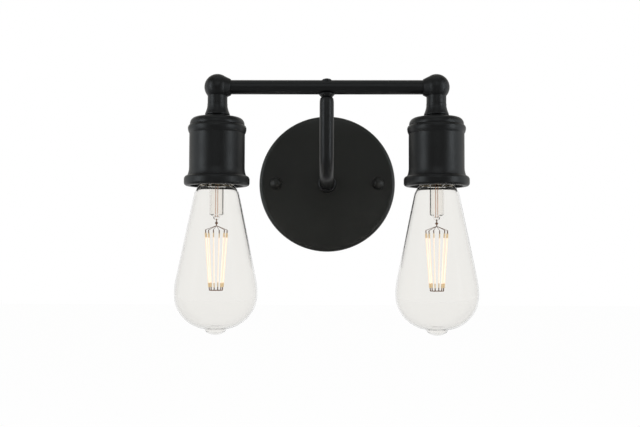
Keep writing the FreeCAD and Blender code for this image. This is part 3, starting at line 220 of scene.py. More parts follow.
class CupSettings(bpy.types.PropertyGroup):
    """Sizes of a lamp cup's outline, with drops measured down from the cup's top."""
    lid_round: length("Lid round", "Rounding of the lid's shoulder", 5.0 * MM)
    wall: length("Wall", "Thickness of the cup", 1.1 * MM)
    radius: length("Cup radius", "Radius of the straight part", 21.45 * MM)
    seam: length("Seam", "Down to the seam between lid and cup", 5.8 * MM)
    bead_radius: length("Bead radius", "Widest radius of the bead", 22.6 * MM)
    bead: length("Bead", "Down to the middle of the bead", 8.6 * MM)
    bead_end: length("Bead end", "Down to where the bead runs out", 12.6 * MM)
    bead_upper: length("Bead above", "Rounding above the bead's middle", 3.0 * MM)
    bead_lower: length("Bead below", "Rounding below the bead's middle", 8.2 * MM)
    flare: length("Flare", "Down to where the foot starts to flare", 39.2 * MM)
    foot_radius: length("Foot radius", "Radius where the flare meets the rim band", 22.7 * MM)
    foot: length("Foot", "Down to the rim band", 45.1 * MM)
    foot_sweep: length("Foot sweep", "Radius of the flare's hollow side", 16.0 * MM)
    shoulder: length("Rim shoulder", "Height of the rim band's upper rounding", 2.9 * MM)
    shoulder_sweep: length("Rim shoulder sweep", "Radius of the rim band's upper rounding", 3.1 * MM)
    rim_round: length("Rim round", "Lower rounding of the rim band", 2.4 * MM)
    porcelain_bore: length("Porcelain bore", "Radius of the lampholder body's bore", 15.0 * MM)
    porcelain_round: length("Porcelain round", "Rounding of the lampholder body's mouth", 1.2 * MM)


class BulbSettings(bpy.types.PropertyGroup):
    """Sizes of a bulb, with drops measured down from the lower end of its base."""
    wall: length("Glass wall", "Thickness of the glass", 0.9 * MM)
    neck: length("Glass neck", "Radius of the glass inside the base", 10.8 * MM)
    lip: length("Glass lip", "Radius where the glass leaves the base", 13.0 * MM)
    lip_drop: length("Lip drop", "Down to where the glass leaves the base", 0.2 * MM)
    shoulder: length("Shoulder", "Radius of the glass shoulder", 17.4 * MM)
    shoulder_drop: length("Shoulder drop", "Down to the shoulder", 7.5 * MM)
    shoulder_sweep: length("Shoulder sweep", "Rounding between base and shoulder", 15.0 * MM)
    cone_drop: length("Cone drop", "Down to where the glass leaves its cone", 72.2 * MM)
    belly_drop: length("Belly drop", "Down to the widest place", 84.3 * MM)
    upper_sweep: length("Upper sweep", "Rounding above the widest place", 60.2 * MM)
    bottom_sweep: length("Bottom sweep", "Rounding below the widest place", 26.8 * MM)
    tip_root: length("Tip root", "Radius where the sealed tip starts", 8.6 * MM)
    tip: length("Tip", "Radius of the sealed tip", 7.4 * MM)
    tip_sweep: length("Tip sweep", "Radius of the hollow where the glass runs into its tip", 3.2 * MM)
    tip_spread: length("Tip spread", "How much wider than its root that hollow starts", 1.6 * MM)
    stem: length("Stem", "Radius of the glass stem", 5.4 * MM)
    stem_wall: length("Stem wall", "Wall of the glass stem", 0.8 * MM)
    stem_taper: length("Stem taper", "Down to the start of the stem's taper", 22.8 * MM)
    stem_pinch: length("Stem pinch", "Radius of the stem's sealed end", 2.6 * MM)
    stem_lead: length("Stem lead", "Radius of the two leads inside the stem", 0.22 * MM)
    stem_lead_place: length("Stem lead place", "Stem's axis to each lead", 0.7 * MM)
    exhaust: length("Exhaust tube", "Radius of the thin tube inside the stem", 1.1 * MM)
    knot_drop: length("Knot drop", "Stem's end down to the knot on its wire", 2.2 * MM)
    knot: length("Knot", "Radius of that knot", 1.2 * MM)
    spoke_drop: length("Spoke drop", "Stem's end down to where the support wires part", 4.2 * MM)
    wire: length("Support wire", "Radius of a support wire", 0.2 * MM)
    tab: length("Tab", "Radius of the tab that holds a filament's end", 0.42 * MM)
    tab_length: length("Tab length", "Length of that tab", 2.4 * MM)
    filament: length("Filament", "Half the width of a filament strip", 0.85 * MM)
    filament_flat: share("Filament thickness", "Thickness of a strip as a share of its width", 0.5)
    filament_drop: length("Filament drop", "Down to the filaments' upper ends", 37.3 * MM)
    filament_length: length("Filament length", "Length of a filament strip", 41.8 * MM)
    filament_cap: length("Filament cap", "Bare metal at each end of a strip", 3.6 * MM)
    top_ring: length("Upper circle", "Radius of the circle of the filaments' upper ends", 8.4 * MM)
    low_ring: length("Lower circle", "Radius of the circle of their lower ends", 5.3 * MM)
    turn_left: angle("Left filaments", "Turn of the left bulb's first filament", math.radians(22.5))
    turn_right: angle("Right filaments", "Turn of the right bulb's first filament", math.radians(7.5))
    filament_count: bpy.props.IntProperty(name="Filaments", description="Filament strips in a bulb",
                                          default=6, min=1, max=12)


class FinishSettings(bpy.types.PropertyGroup):
    """Colours and gloss of the finishes."""
    paint: colour("Paint", "Satin black paint", (0.0045, 0.0045, 0.005, 1))
    paint_worn: colour("Paint, light", "Lighter specks of the paint", (0.009, 0.009, 0.0095, 1))
    # The backplate and its cap nuts take the same satin black paint, painted lighter and warmer: painted
    # light on them
    plate_paint_lit: colour("Sheet paint", "Paint of the backplate and its nuts", (0.020, 0.0195, 0.0165, 1))
    plate_specks_lit: colour("Sheet paint, light", "Lighter specks of that paint", (0.026, 0.0255, 0.0225, 1))
    paint_gloss: share("Paint roughness", "Roughness of the paint", 0.42)
    paint_grain: length("Paint grain", "Size of the paint's fine texture", 0.35 * MM)
    paint_relief: length("Paint relief", "Depth of that texture", 0.012 * MM)
    paint_cloud: length("Paint clouds", "Size of the paint's faint cloudiness", 12 * MM)
    glow: colour("Glow", "Colour of a lit filament's broad side near its edges", (0.92, 0.70, 0.54, 1))
    glow_core: colour("Glow core", "Colour of the middle of that side", (1.0, 0.87, 0.80, 1))
    glow_edge: colour("Glow edge face", "Colour of a lit filament's narrow sides", (0.79, 0.63, 0.52, 1))
    glow_strength: share("Glow strength", "Brightness of the lit filaments", 1.3, 50.0)
    coating: colour("Coating", "Colour of a filament's coating under its glow", (0.10, 0.08, 0.05, 1))
    strip_gloss: share("Strip roughness", "Roughness of a filament strip", 0.4)
    gold: colour("Gold ends", "Bare metal at the ends of a filament strip", (0.80, 0.62, 0.38, 1))
    glass: colour("Glass", "Colour of the bulb's glass", (0.925, 0.918, 0.900, 1))
    glass_edge: colour("Glass edge", "Colour of the bulb's glass seen edge on", (0.66, 0.66, 0.66, 1))
    glass_narrow: share("Glass edge narrowness", "How narrow that edge is", 4.0, 20.0)
    glass_bend: share("Glass refraction", "Refractive index of the thin bulb glass", 1.12, 2.0)
    stem: colour("Stem glass", "Colour of the stem's glass", (0.965, 0.955, 0.94, 1))
    stem_edge: colour("Stem edge", "Colour of the stem's glass seen edge on", (0.66, 0.65, 0.63, 1))
    stem_narrow: share("Stem edge narrowness", "How narrow that edge is", 3.0, 20.0)
    stem_bend: share("Stem refraction", "Refractive index of the stem's glass", 1.25, 2.0)


class StageSettings(bpy.types.PropertyGroup):
    """The camera, the floor, the lights and the room."""
    camera_place: point("Camera", "The camera's place", (3.35 * MM, -777.1 * MM, -61.9 * MM))
    camera_tilt: angle("Camera tilt", "How far the camera looks up", 0.047)
    camera_turn: angle("Camera turn", "How far the camera looks to the left", 0.0126)
    camera_roll: angle("Camera roll", "Roll of the camera", 0.0031)
    focal_pixels: share("Focal length in pixels", "Focal length in the photograph's pixels", 858.3, 4000.0)
    floor_drop: length("Floor drop", "Floor's distance below the bulbs", 0.22)
    floor_white: share("Floor white", "Share of the floor that is plain white to the camera", 0.88)
    floor_glow: share("Floor glow", "Brightness of the floor's plain white", 1.10, 2.0)
    floor_reach: length("Floor reach", "Half the floor's width", 4.0)
    floor_tone: colour("Floor tone", "Colour that the floor's shadows fall on", (0.45, 0.45, 0.45, 1))
    floor_gloss: share("Floor roughness", "Roughness of the floor", 0.8)
    floor_fade: length("Floor fade", "Wall to where metal mirrors the floor as white", 0.6)
    cup_light: share("Cup lights", "Watts of the two lights whose bands show on the cups", 4.6, 1000.0)
    cup_turn: angle("Cup lights' turn", "Turn of those lights from the front", math.radians(60))
    cup_width: length("Cup lights' width", "Width of each of them", 0.35)
    edge_light: share("Edge lights", "Watts of the two lights that edge the tubes", 2.2, 1000.0)
    edge_turn: angle("Edge lights' turn", "Turn of those lights from the front", math.radians(98))
    edge_width: length("Edge lights' width", "Width of each of them", 0.8)
    side_height: length("Side lights' height", "Height of the cup and edge lights", 1.3)
    side_rise: share("Side lights' rise", "Their rise as a share of their distance", 0.08)
    side_distance: length("Side lights' distance", "Middle of the object to each of them", 1.25)
    front_light: share("Front light", "Watts of the front light", 2.6, 1000.0)
    front_size: area("Front light's size", "Width and height of the front light", (1.0, 1.0))
    front_place: point("Front light's place", "Place of the front light", (0.0, -1.8, 0.9))
    top_light: share("Top light", "Watts of the top light", 1.3, 1000.0)
    top_size: area("Top light's size", "Width and height of the top light", (1.2, 0.8))
    top_place: point("Top light's place", "Place of the top light", (0.0, -0.3, 1.3))
    middle: point("Middle", "Place that the side lights stand round", (0.0, -0.115, 0.0))
    aim: point("Aim", "Place that the lights face", (0.0, -0.08, 0.0))
    lamp_tone: colour("Lamp tone", "Colour of the studio lamps", (0.88, 0.95, 1.0, 1))
    room: share("Room", "Brightness of the room in front of the wall", 0.115)
    room_tone: colour("Room tone", "Colour of the room in front of the wall", (1.0, 0.97, 0.84, 1))
    room_edge: share("Room edge", "Where the surround starts to brighten, from side (0) to back (1)", 0.2)


# Turned and bent pieces

def arc_points(start, end, radius, side):
    """Points of an arc after its start, with its centre to the left (1) or right (-1) of the way."""
    chord = end - start
    half = chord.length / 2
    rise = math.sqrt(max(radius * radius - half * half, 0.0))
    across = Vector((-chord.y, chord.x)).normalized()
    centre = start + chord / 2 + across * (side * rise)
    turn = 2 * math.asin(min(half / radius, 1.0)) * side
    count = max(2, math.ceil(abs(turn) / ARC_STEP))
    spoke = start - centre
    points = []
    for number in range(1, count + 1):
        points.append(centre + Matrix.Rotation(turn * number / count, 2) @ spoke)
    return points


def traced(steps):
    """Points of a closed outline of (radius, height) or (radius, height, arc radius, side) steps."""
    points = [Vector(steps[0][:2])]
    for step in steps[1:]:
        if len(step) == 2:
            points.append(Vector(step))
        else:
            points.extend(arc_points(points[-1], Vector(step[:2]), step[2], step[3]))
    return points


def softened(points, radius):
    """The outline with its sharp corners rounded, and support points beside them."""
    result = []
    count = len(points)
    for number, corner in enumerate(points):
        before = points[number - 1] - corner
        after = points[(number + 1) % count] - corner
        shorter = min(before.length, after.length)
        turn = 0.0 if corner.x < TINY or shorter < TINY else math.pi - before.angle(after)
        if turn < SHARP:
            result.append(corner)
            continue
        back = min(radius * math.tan(turn / 2), shorter * CORNER_SHARE)
        near = corner + before.normalized() * back
        far = corner + after.normalized() * back
        for lean in CORNER_STEPS:
            result.append(near.lerp(corner, lean).lerp(corner.lerp(far, lean), lean))
    return supported(result, radius)


def supported(points, reach):
    """The outline with a point near each end of every long straight run."""
    result = []
    for number, spot in enumerate(points):
        result.append(spot)
        run = points[(number + 1) % len(points)] - spot
        if run.length > LONG_RUN * reach and not (spot.x < TINY and (spot + run).x < TINY):
            result.append(spot + run.normalized() * reach)
            result.append(spot + run - run.normalized() * reach)
    return result


def linked(name, data):
    """A new object at the origin, in the scene."""
    thing = bpy.data.objects.new(name, data)
    bpy.context.scene.collection.objects.link(thing)
    return thing


def smooth(mesh):
    """Shade a mesh smooth but for its sharp creases."""
    mesh.shade_smooth()
    mesh.set_sharp_from_angle(angle=CREASE)


def into_mesh(shape, mesh):
    """Move a bmesh into a mesh, with its faces outwards."""
    bmesh.ops.recalc_face_normals(shape, faces=shape.faces)
    shape.to_mesh(mesh)
    shape.free()
    smooth(mesh)
    return mesh


def skinned(name, shape, rings):
    """A piece with faces from each ring of points to the next, and from the last to the first."""
    for first, second in zip(rings[-1:] + rings[:-1], rings):
        count = max(len(first), len(second))
        for number in range(count if count > 1 else 0):
            after = (number + 1) % count
            corners = [first[number % len(first)], first[after % len(first)],
                       second[after % len(second)], second[number % len(second)]]
            shape.faces.new(list(dict.fromkeys(corners)))
    return linked(name, into_mesh(shape, bpy.data.meshes.new(name)))


def turned(name, points, origin, axis=UP, segments=RING, flutes=0, flute_share=0.0):
    """A piece turned about an axis through its origin from (radius, height) points."""
    basis = axis.to_track_quat("Z", "Y").to_matrix()
    shape = bmesh.new()
    rings = []
    for radius, height in points:
        ring = []
        for number in range(segments if radius > TINY else 1):
            turn = 2 * math.pi * number / segments
            reach = radius * (1 - flute_share * (1 + math.cos(flutes * turn)) / 2) if radius > TINY else 0.0
            spot = Vector((reach * math.cos(turn), reach * math.sin(turn), height))
            ring.append(shape.verts.new(origin + basis @ spot))
        rings.append(ring)
    return skinned(name, shape, rings)


def lathed(name, origin, soft, steps, axis=UP, segments=RING):
    """A turned piece from an outline's steps, with its sharp corners rounded."""
    return turned(name, softened(traced(steps), soft), origin, axis, segments)


def swept(name, path, radii, side, bore):
    """A tube along points in one plane, whose normal is side: its outside and its bore back again."""
    shape = bmesh.new()
    rings = []
    last = len(path) - 1
    there = list(enumerate(radii))
    back = [(number, bore) for number in range(last, -1, -1)]
    for number, radius in there + back:
        ahead = path[min(number + 1, last)] - path[max(number - 1, 0)]
        across = side.cross(ahead).normalized()
        ring = []
        for step in range(TUBE_RING):
            turn = 2 * math.pi * step / TUBE_RING
            spoke = side * (radius * math.cos(turn)) + across * (radius * math.sin(turn))
            ring.append(shape.verts.new(path[number] + spoke))
        rings.append(ring)
    return skinned(name, shape, rings)


def finish_piece(piece, finish):
    """Give a piece one finish, by its short name."""
    piece.data.materials.clear()
    piece.data.materials.append(finishes[finish])


def place(piece, body, slot_name, finish, *nodes):
    """Give a piece its finish and its body, in place of the CAD nodes that it stands for."""
    finish_piece(piece, finish)
    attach(piece, body)
    if nodes:
        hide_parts(*nodes)


def painted(piece, node, finish="paint"):
    """Paint a piece of the fixture that stands for a CAD node."""
    place(piece, FIXTURE, "black_paint", finish, node)


def dress(finish, *nodes):
    """Give CAD nodes that keep their own shape a finish."""
    for node in nodes:
        finish_piece(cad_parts[node], finish)


# Geometry Nodes

class NodeShape:
    """A Geometry Nodes tree that makes one piece, with named inputs for its sizes."""

    def __init__(self, name):
        self.tree = bpy.data.node_groups.new(name, "GeometryNodeTree")
        self.tree.interface.new_socket("Geometry", in_out="OUTPUT", socket_type="NodeSocketGeometry")
        self.entry = self.tree.nodes.new("NodeGroupInput")
        self.exit = self.tree.nodes.new("NodeGroupOutput")
        self.values = {}

    def size(self, name, value, kind="NodeSocketFloat"):
        """A named input and its value."""
        socket = self.tree.interface.new_socket(name, in_out="INPUT", socket_type=kind)
        self.values[socket.identifier] = value
        return self.entry.outputs[name]

    def feed(self, socket, value):
        """Link another socket to this one, or give it a value."""
        if isinstance(value, bpy.types.NodeSocket):
            self.tree.links.new(value, socket)
        else:
            socket.default_value = value

    def node(self, kind, settings=None, **inputs):
        """The first output of a node with its settings and the values or links of its sockets."""
        node = self.tree.nodes.new(kind)
        for name, value in (settings or {}).items():
            setattr(node, name, value)
        for name, value in inputs.items():
            self.feed(node.inputs[name.replace("_", " ")], value)
        return node.outputs[0]

    def sum_of(self, *sockets):
        """Several geometries joined."""
        node = self.tree.nodes.new("GeometryNodeJoinGeometry")
        for socket in sockets:
            self.tree.links.new(socket, node.inputs[0])
        return node.outputs[0]

    def maths(self, operation, first, second):
        """The result of one sum on two values or sockets."""
        node = self.tree.nodes.new("ShaderNodeMath")
        node.operation = operation
        self.feed(node.inputs[0], first)
        self.feed(node.inputs[1], second)
        return node.outputs[0]

    def pipe(self, line, radius, resolution, caps=True):
        """A round skin along a line, with its ends closed or open."""
        ring = self.node("GeometryNodeCurvePrimitiveCircle", Resolution=resolution, Radius=radius)
        return self.node("GeometryNodeCurveToMesh", Curve=line, Profile_Curve=ring, Fill_Caps=caps)

    def line(self, start, way, reach):
        """A straight line of a given length."""
        return self.node("GeometryNodeCurvePrimitiveLine", {"mode": "DIRECTION"}, Start=start,
                         Direction=way, Length=reach)

    def rod(self, start, end, radius):
        """A straight round wire between two points."""
        line = self.node("GeometryNodeCurvePrimitiveLine", Start=start, End=end)
        return self.pipe(line, radius, WIRE_RING)

    def moved(self, geometry, **change):
        """A geometry moved, turned or scaled."""
        return self.node("GeometryNodeTransform", Geometry=geometry, **change)

    def repeated(self, geometry, count, radius):
        """A geometry at even places on a circle round the axis, each turned with its place."""
        places = self.node("GeometryNodeMeshCircle", Vertices=count, Radius=radius)
        step = self.maths("DIVIDE", 2 * math.pi, count)
        turn = self.maths("MULTIPLY", self.node("GeometryNodeInputIndex"), step)
        return self.node("GeometryNodeInstanceOnPoints", Points=places, Instance=geometry,
                         Rotation=self.node("ShaderNodeCombineXYZ", Z=turn))

    def piece(self, name, geometry, finish):
        """Run the tree and turn its result into a plain mesh object at the origin."""
        realized = self.node("GeometryNodeRealizeInstances", Geometry=geometry)
        result = self.node("GeometryNodeSetMaterial", Geometry=realized, Material=finishes[finish])
        self.tree.links.new(result, self.exit.inputs[0])
        seed = linked(name + "_seed", bpy.data.meshes.new(name + "_seed"))
        modifier = seed.modifiers.new("Shape", "NODES")
        modifier.node_group = self.tree
        for identifier, value in self.values.items():
            modifier[identifier] = value
        depsgraph = bpy.context.evaluated_depsgraph_get()
        mesh = bpy.data.meshes.new_from_object(seed.evaluated_get(depsgraph))
        bpy.data.objects.remove(seed)
        mesh.name = name
        smooth(mesh)
        return linked(name, mesh)


# Materials

class Field:
    """A shader socket that Python's operators work on."""

    def __init__(self, shader, socket):
        self.shader = shader
        self.socket = socket

    def __add__(self, other):
        return self.shader.maths("ADD", self, other)

    def __sub__(self, other):
        return self.shader.maths("SUBTRACT", self, other)

    def __rsub__(self, other):
        return self.shader.maths("SUBTRACT", other, self)

    def __mul__(self, other):
        return self.shader.maths("MULTIPLY", self, other)

    def __pow__(self, other):
        return self.shader.maths("POWER", self, other)


class Finish:
    """A node material around one Principled shader, or a world."""

    def __init__(self, name, owner=None, **constants):
        self.owner = owner or bpy.data.materials.new(name)
        self.owner.use_nodes = True
        self.tree = self.owner.node_tree
        self.tree.nodes.clear()
        kind = "ShaderNodeOutputWorld" if owner else "ShaderNodeOutputMaterial"
        self.output = self.tree.nodes.new(kind)
        self.shader = None
        if not owner:
            self.shader = self.node("ShaderNodeBsdfPrincipled", **constants)
            self.show(self.shader)

    def link(self, source, socket):
        """Link a socket or a Field to a socket."""
        self.tree.links.new(source.socket if isinstance(source, Field) else source, socket)

    def show(self, shader):
        """Make a shader the material's or the world's surface."""
        self.link(shader.outputs[0], self.output.inputs["Surface"])

    def node(self, kind, settings=None, **inputs):
        """A node with its settings, set first, and the values or links of its sockets."""
        node = self.tree.nodes.new(kind)
        for name, value in (settings or {}).items():
            setattr(node, name, value)
        for name, value in inputs.items():
            socket = node.inputs[int(name[1:]) if name[0] == "_" else name.replace("_", " ")]
            if isinstance(value, (Field, bpy.types.NodeSocket)):
                self.link(value, socket)
            else:
                socket.default_value = value
        return node

    def maths(self, operation, first, second=0.0):
        """One sum on values."""
        node = self.node("ShaderNodeMath", {"operation": operation}, _0=first, _1=second)
        return Field(self, node.outputs[0])

    def coordinates(self, kind="Object"):
        """Texture coordinates: the place on the object, or another kind."""
        return self.node("ShaderNodeTexCoord").outputs[kind]

    def parts(self, vector):
        """The three components of a vector."""
        return [Field(self, socket) for socket in self.node("ShaderNodeSeparateXYZ", Vector=vector).outputs]

    def blended(self, factor, first, second):
        """A mix of two shaders."""
        return self.node("ShaderNodeMixShader", _0=factor, _1=first.outputs[0], _2=second.outputs[0])

    def noise(self, size, detail=FINE_DETAIL, rough=0.5, stretch=None):
        """Noise whose lumps have a real size in metres, perhaps stretched along the axes."""
        where = self.coordinates()
        if stretch:
            where = self.node("ShaderNodeMapping", Vector=where, Scale=stretch).outputs[0]
        node = self.node("ShaderNodeTexNoise", Vector=where, Scale=1 / size, Detail=detail, Roughness=rough)
        return Field(self, node.outputs["Fac"])

    def ramp(self, factor, start, end, first=0.0, second=1.0):
        """A value that runs from first to second as the factor runs from start to end."""
        node = self.node("ShaderNodeMapRange", Value=factor, From_Min=start, From_Max=end, To_Min=first,
                         To_Max=second)
        return Field(self, node.outputs[0])

    def swing(self, factor, centre, spread):
        """A value that follows noise, by a share of itself to either side."""
        return self.ramp(factor, *NOISE_RANGE, centre * (1 - spread), centre * (1 + spread))

    def mixed(self, factor, first, second):
        """A colour between two colours."""
        node = self.node("ShaderNodeMix", {"data_type": "RGBA"}, _0=factor, _6=first, _7=second)
        return node.outputs[2]

    def bump(self, height, depth, strength=1.0):
        """Relief of a real depth in metres on the shader's normal."""
        node = self.node("ShaderNodeBump", Height=height, Distance=depth, Strength=strength)
        self.link(node.outputs[0], self.shader.inputs["Normal"])

    def feed(self, name, source):
        """Link a varying source to a socket of the shader."""
        self.link(source, self.shader.inputs[name])


def white_rays(finish, behind):
    """One for the rays that show the white surround: the camera's and transmitted ones, and mirrored
    ones as far as they meet the background behind the wall light."""
    path = finish.node("ShaderNodeLightPath")
    seen, mirrored, through = [Field(finish, path.outputs[name])
                               for name in ("Is Camera Ray", "Is Glossy Ray", "Is Transmission Ray")]
    return finish.maths("MINIMUM", seen + mirrored * behind + through, 1.0)


def plain_finish(name, dark, light, rough, grain, depth, metallic=0.0, stretch=None):
    """A finish whose colour, gloss and relief follow one grain, given in millimetres."""
    finish = Finish(name, Metallic=metallic)
    broad = finish.noise(grain * MM * BROAD_GRAINS, BROAD_DETAIL)
    fine = finish.noise(grain * MM, stretch=stretch)
    finish.feed("Base Color", finish.mixed(broad * BROAD_SHARE + fine * (1 - BROAD_SHARE), dark, light))
    finish.feed("Roughness", finish.swing(broad, rough, ROUGH_SWING))
    finish.bump(fine, depth * MM)
    return finish.owner


def black_paint(name, dark, light):
    """Satin black paint: nearly even, with a very fine orange peel and faint cloudiness."""
    choice = bpy.context.scene.sconce_finish
    finish = Finish(name, Specular_IOR_Level=0.5)
    cloud = finish.noise(choice.paint_cloud, BROAD_DETAIL)
    peel = finish.noise(choice.paint_grain, rough=PEEL_ROUGHNESS)
    speck = finish.ramp(finish.noise(choice.paint_grain * SPECK_GRAINS, PLAIN_DETAIL), *SPECK_RANGE)
    finish.feed("Base Color", finish.mixed(speck * SPECK_SHARE + cloud * CLOUD_SHARE, dark, light))
    finish.feed("Roughness", finish.swing(cloud, choice.paint_gloss, PAINT_SWING))
    finish.bump(peel, choice.paint_relief, PEEL_STRENGTH)
    return finish.owner


def clear_glass(name, tint, edge_tint, bend, narrow):
    """Clear glass: darker in a narrow band where it is seen edge on, and open to lamp light."""
    sockets = {"Roughness": 0.0, "IOR": bend, "Transmission_Weight": 1.0}
    finish = Finish(name, Base_Color=tint, **sockets)
    edge = finish.node("ShaderNodeBsdfPrincipled", Base_Color=edge_tint, **sockets)
    facing = Field(finish, finish.node("ShaderNodeLayerWeight", Blend=0.5).outputs["Facing"])
    glass = finish.blended(facing ** narrow, finish.shader, edge)
    open_to_light = finish.node("ShaderNodeBsdfTransparent", Color=tint)
    shadow = finish.node("ShaderNodeLightPath").outputs["Is Shadow Ray"]
    finish.show(finish.blended(shadow, glass, open_to_light))
    return finish.owner


def glowing_strip():
    """A lit filament strip: bright on its two broad sides, dimmer on its narrow ones, with gold ends."""
    choice = bpy.context.scene.sconce_finish
    bulb = bpy.context.scene.sconce_bulb
    base = low("bulb_base_left").z
    top = base - bulb.filament_drop - bulb.filament_cap
    end = base - bulb.filament_drop - bulb.filament_length + bulb.filament_cap
    axis = lamp_point("right", 0.0)
    finish = Finish("lit_filament", Roughness=choice.strip_gloss, Emission_Strength=choice.glow_strength)
    across, back, height = finish.parts(finish.coordinates())
    facing = finish.parts(finish.coordinates("Normal"))
    side = finish.maths("SIGN", across)
    out_x = (across * side - axis.x) * side * facing[0]
    out_y = (back - axis.y) * facing[1]
    outwards = finish.maths("ABSOLUTE", (out_x + out_y) * (2 / (bulb.top_ring + bulb.low_ring)))
    lit = finish.ramp(height, top + GLOW_FADE, top) * finish.ramp(height, end - GLOW_FADE, end)
    chips = finish.ramp(finish.noise(CHIP_SIZE, PLAIN_DETAIL), *CHIP_RANGE, 0.0, CHIP_SHARE)
    tone = finish.mixed(chips + finish.ramp(outwards, 0.0, EDGE_FROM), choice.glow_core, choice.glow)
    shown = finish.mixed(finish.ramp(outwards, EDGE_FROM, EDGE_TO), tone, choice.glow_edge)
    finish.feed("Emission Color", finish.mixed(lit, BLACK, shown))
    finish.feed("Base Color", finish.mixed(lit, choice.gold, choice.coating))
    finish.feed("Metallic", 1 - lit)
    return finish.owner


# Each plain finish: its material's name, dark and light colour, roughness, grain and relief in
# millimetres, and where they are needed how metallic it is and how its grain is stretched
PLAIN_FINISHES = {
    "steel": ("zinc_plated_steel", (0.50, 0.50, 0.49, 1), (0.66, 0.65, 0.62, 1), 0.34, 1.2, 0.01, 1.0,
              (0.15, 1, 1)),
    "brass": ("brass", (0.62, 0.45, 0.20, 1), (0.75, 0.57, 0.29, 1), 0.3, 1.5, 0.01, 1.0),
    "copper": ("bare_copper", (0.62, 0.30, 0.17, 1), (0.80, 0.43, 0.26, 1), 0.32, 1.5, 0.01, 1.0),
    "green": ("green_screw", (0.03, 0.20, 0.08, 1), (0.06, 0.32, 0.13, 1), 0.35, 1.0, 0.01, 0.6),
    # The porcelain's cream is painted darker and browner than its own colour: painted shade inside the cup
    "porcelain": ("cream_porcelain_painted_shade", (0.62, 0.55, 0.42, 1), (0.72, 0.66, 0.53, 1), 0.3, 3.0, 0.01),
    "nickel": ("nickel_shell", (0.44, 0.38, 0.28, 1), (0.56, 0.49, 0.37, 1), 0.35, 1.5, 0.01, 1.0),
    "black_glass": ("black_insulator", (0.01, 0.01, 0.01, 1), (0.03, 0.03, 0.03, 1), 0.12, 1.5, 0.005),
    "solder": ("solder", (0.48, 0.48, 0.50, 1), (0.66, 0.66, 0.68, 1), 0.35, 0.8, 0.02, 1.0),
    "wire": ("support_wire", (0.15, 0.09, 0.06, 1), (0.26, 0.16, 0.11, 1), 0.4, 1.0, 0.005, 1.0),
    "circuit": ("driver_board", (0.02, 0.12, 0.05, 1), (0.05, 0.22, 0.10, 1), 0.5, 1.5, 0.05),
    "black_sleeve": ("black_insulation", (0.01, 0.01, 0.01, 1), (0.022, 0.022, 0.022, 1), 0.45, 1.0, 0.01),
    "white_sleeve": ("white_insulation", (0.66, 0.66, 0.63, 1), (0.78, 0.78, 0.76, 1), 0.45, 1.0, 0.01),
    "connector": ("orange_plastic", (0.66, 0.17, 0.03, 1), (0.78, 0.24, 0.05, 1), 0.42, 1.0, 0.02),
}


def make_finishes():
    """Every finish by its short name."""
    choice = bpy.context.scene.sconce_finish
    made = {short: plain_finish(*row) for short, row in PLAIN_FINISHES.items()}
    made["paint"] = black_paint("satin_black_paint", choice.paint, choice.paint_worn)
    # A copy of the black paint painted lighter and warmer, as painted light on the backplate and its nuts
    made["plate_paint_lit"] = black_paint("satin_black_painted_lit", choice.plate_paint_lit, choice.plate_specks_lit)
    made["glass"] = clear_glass("clear_bulb_glass", choice.glass, choice.glass_edge, choice.glass_bend,
                                choice.glass_narrow)
    made["stem_glass"] = clear_glass("stem_glass", choice.stem, choice.stem_edge, choice.stem_bend,
                                     choice.stem_narrow)
    made["glow"] = glowing_strip()
    return made


finishes = {}


# Operators

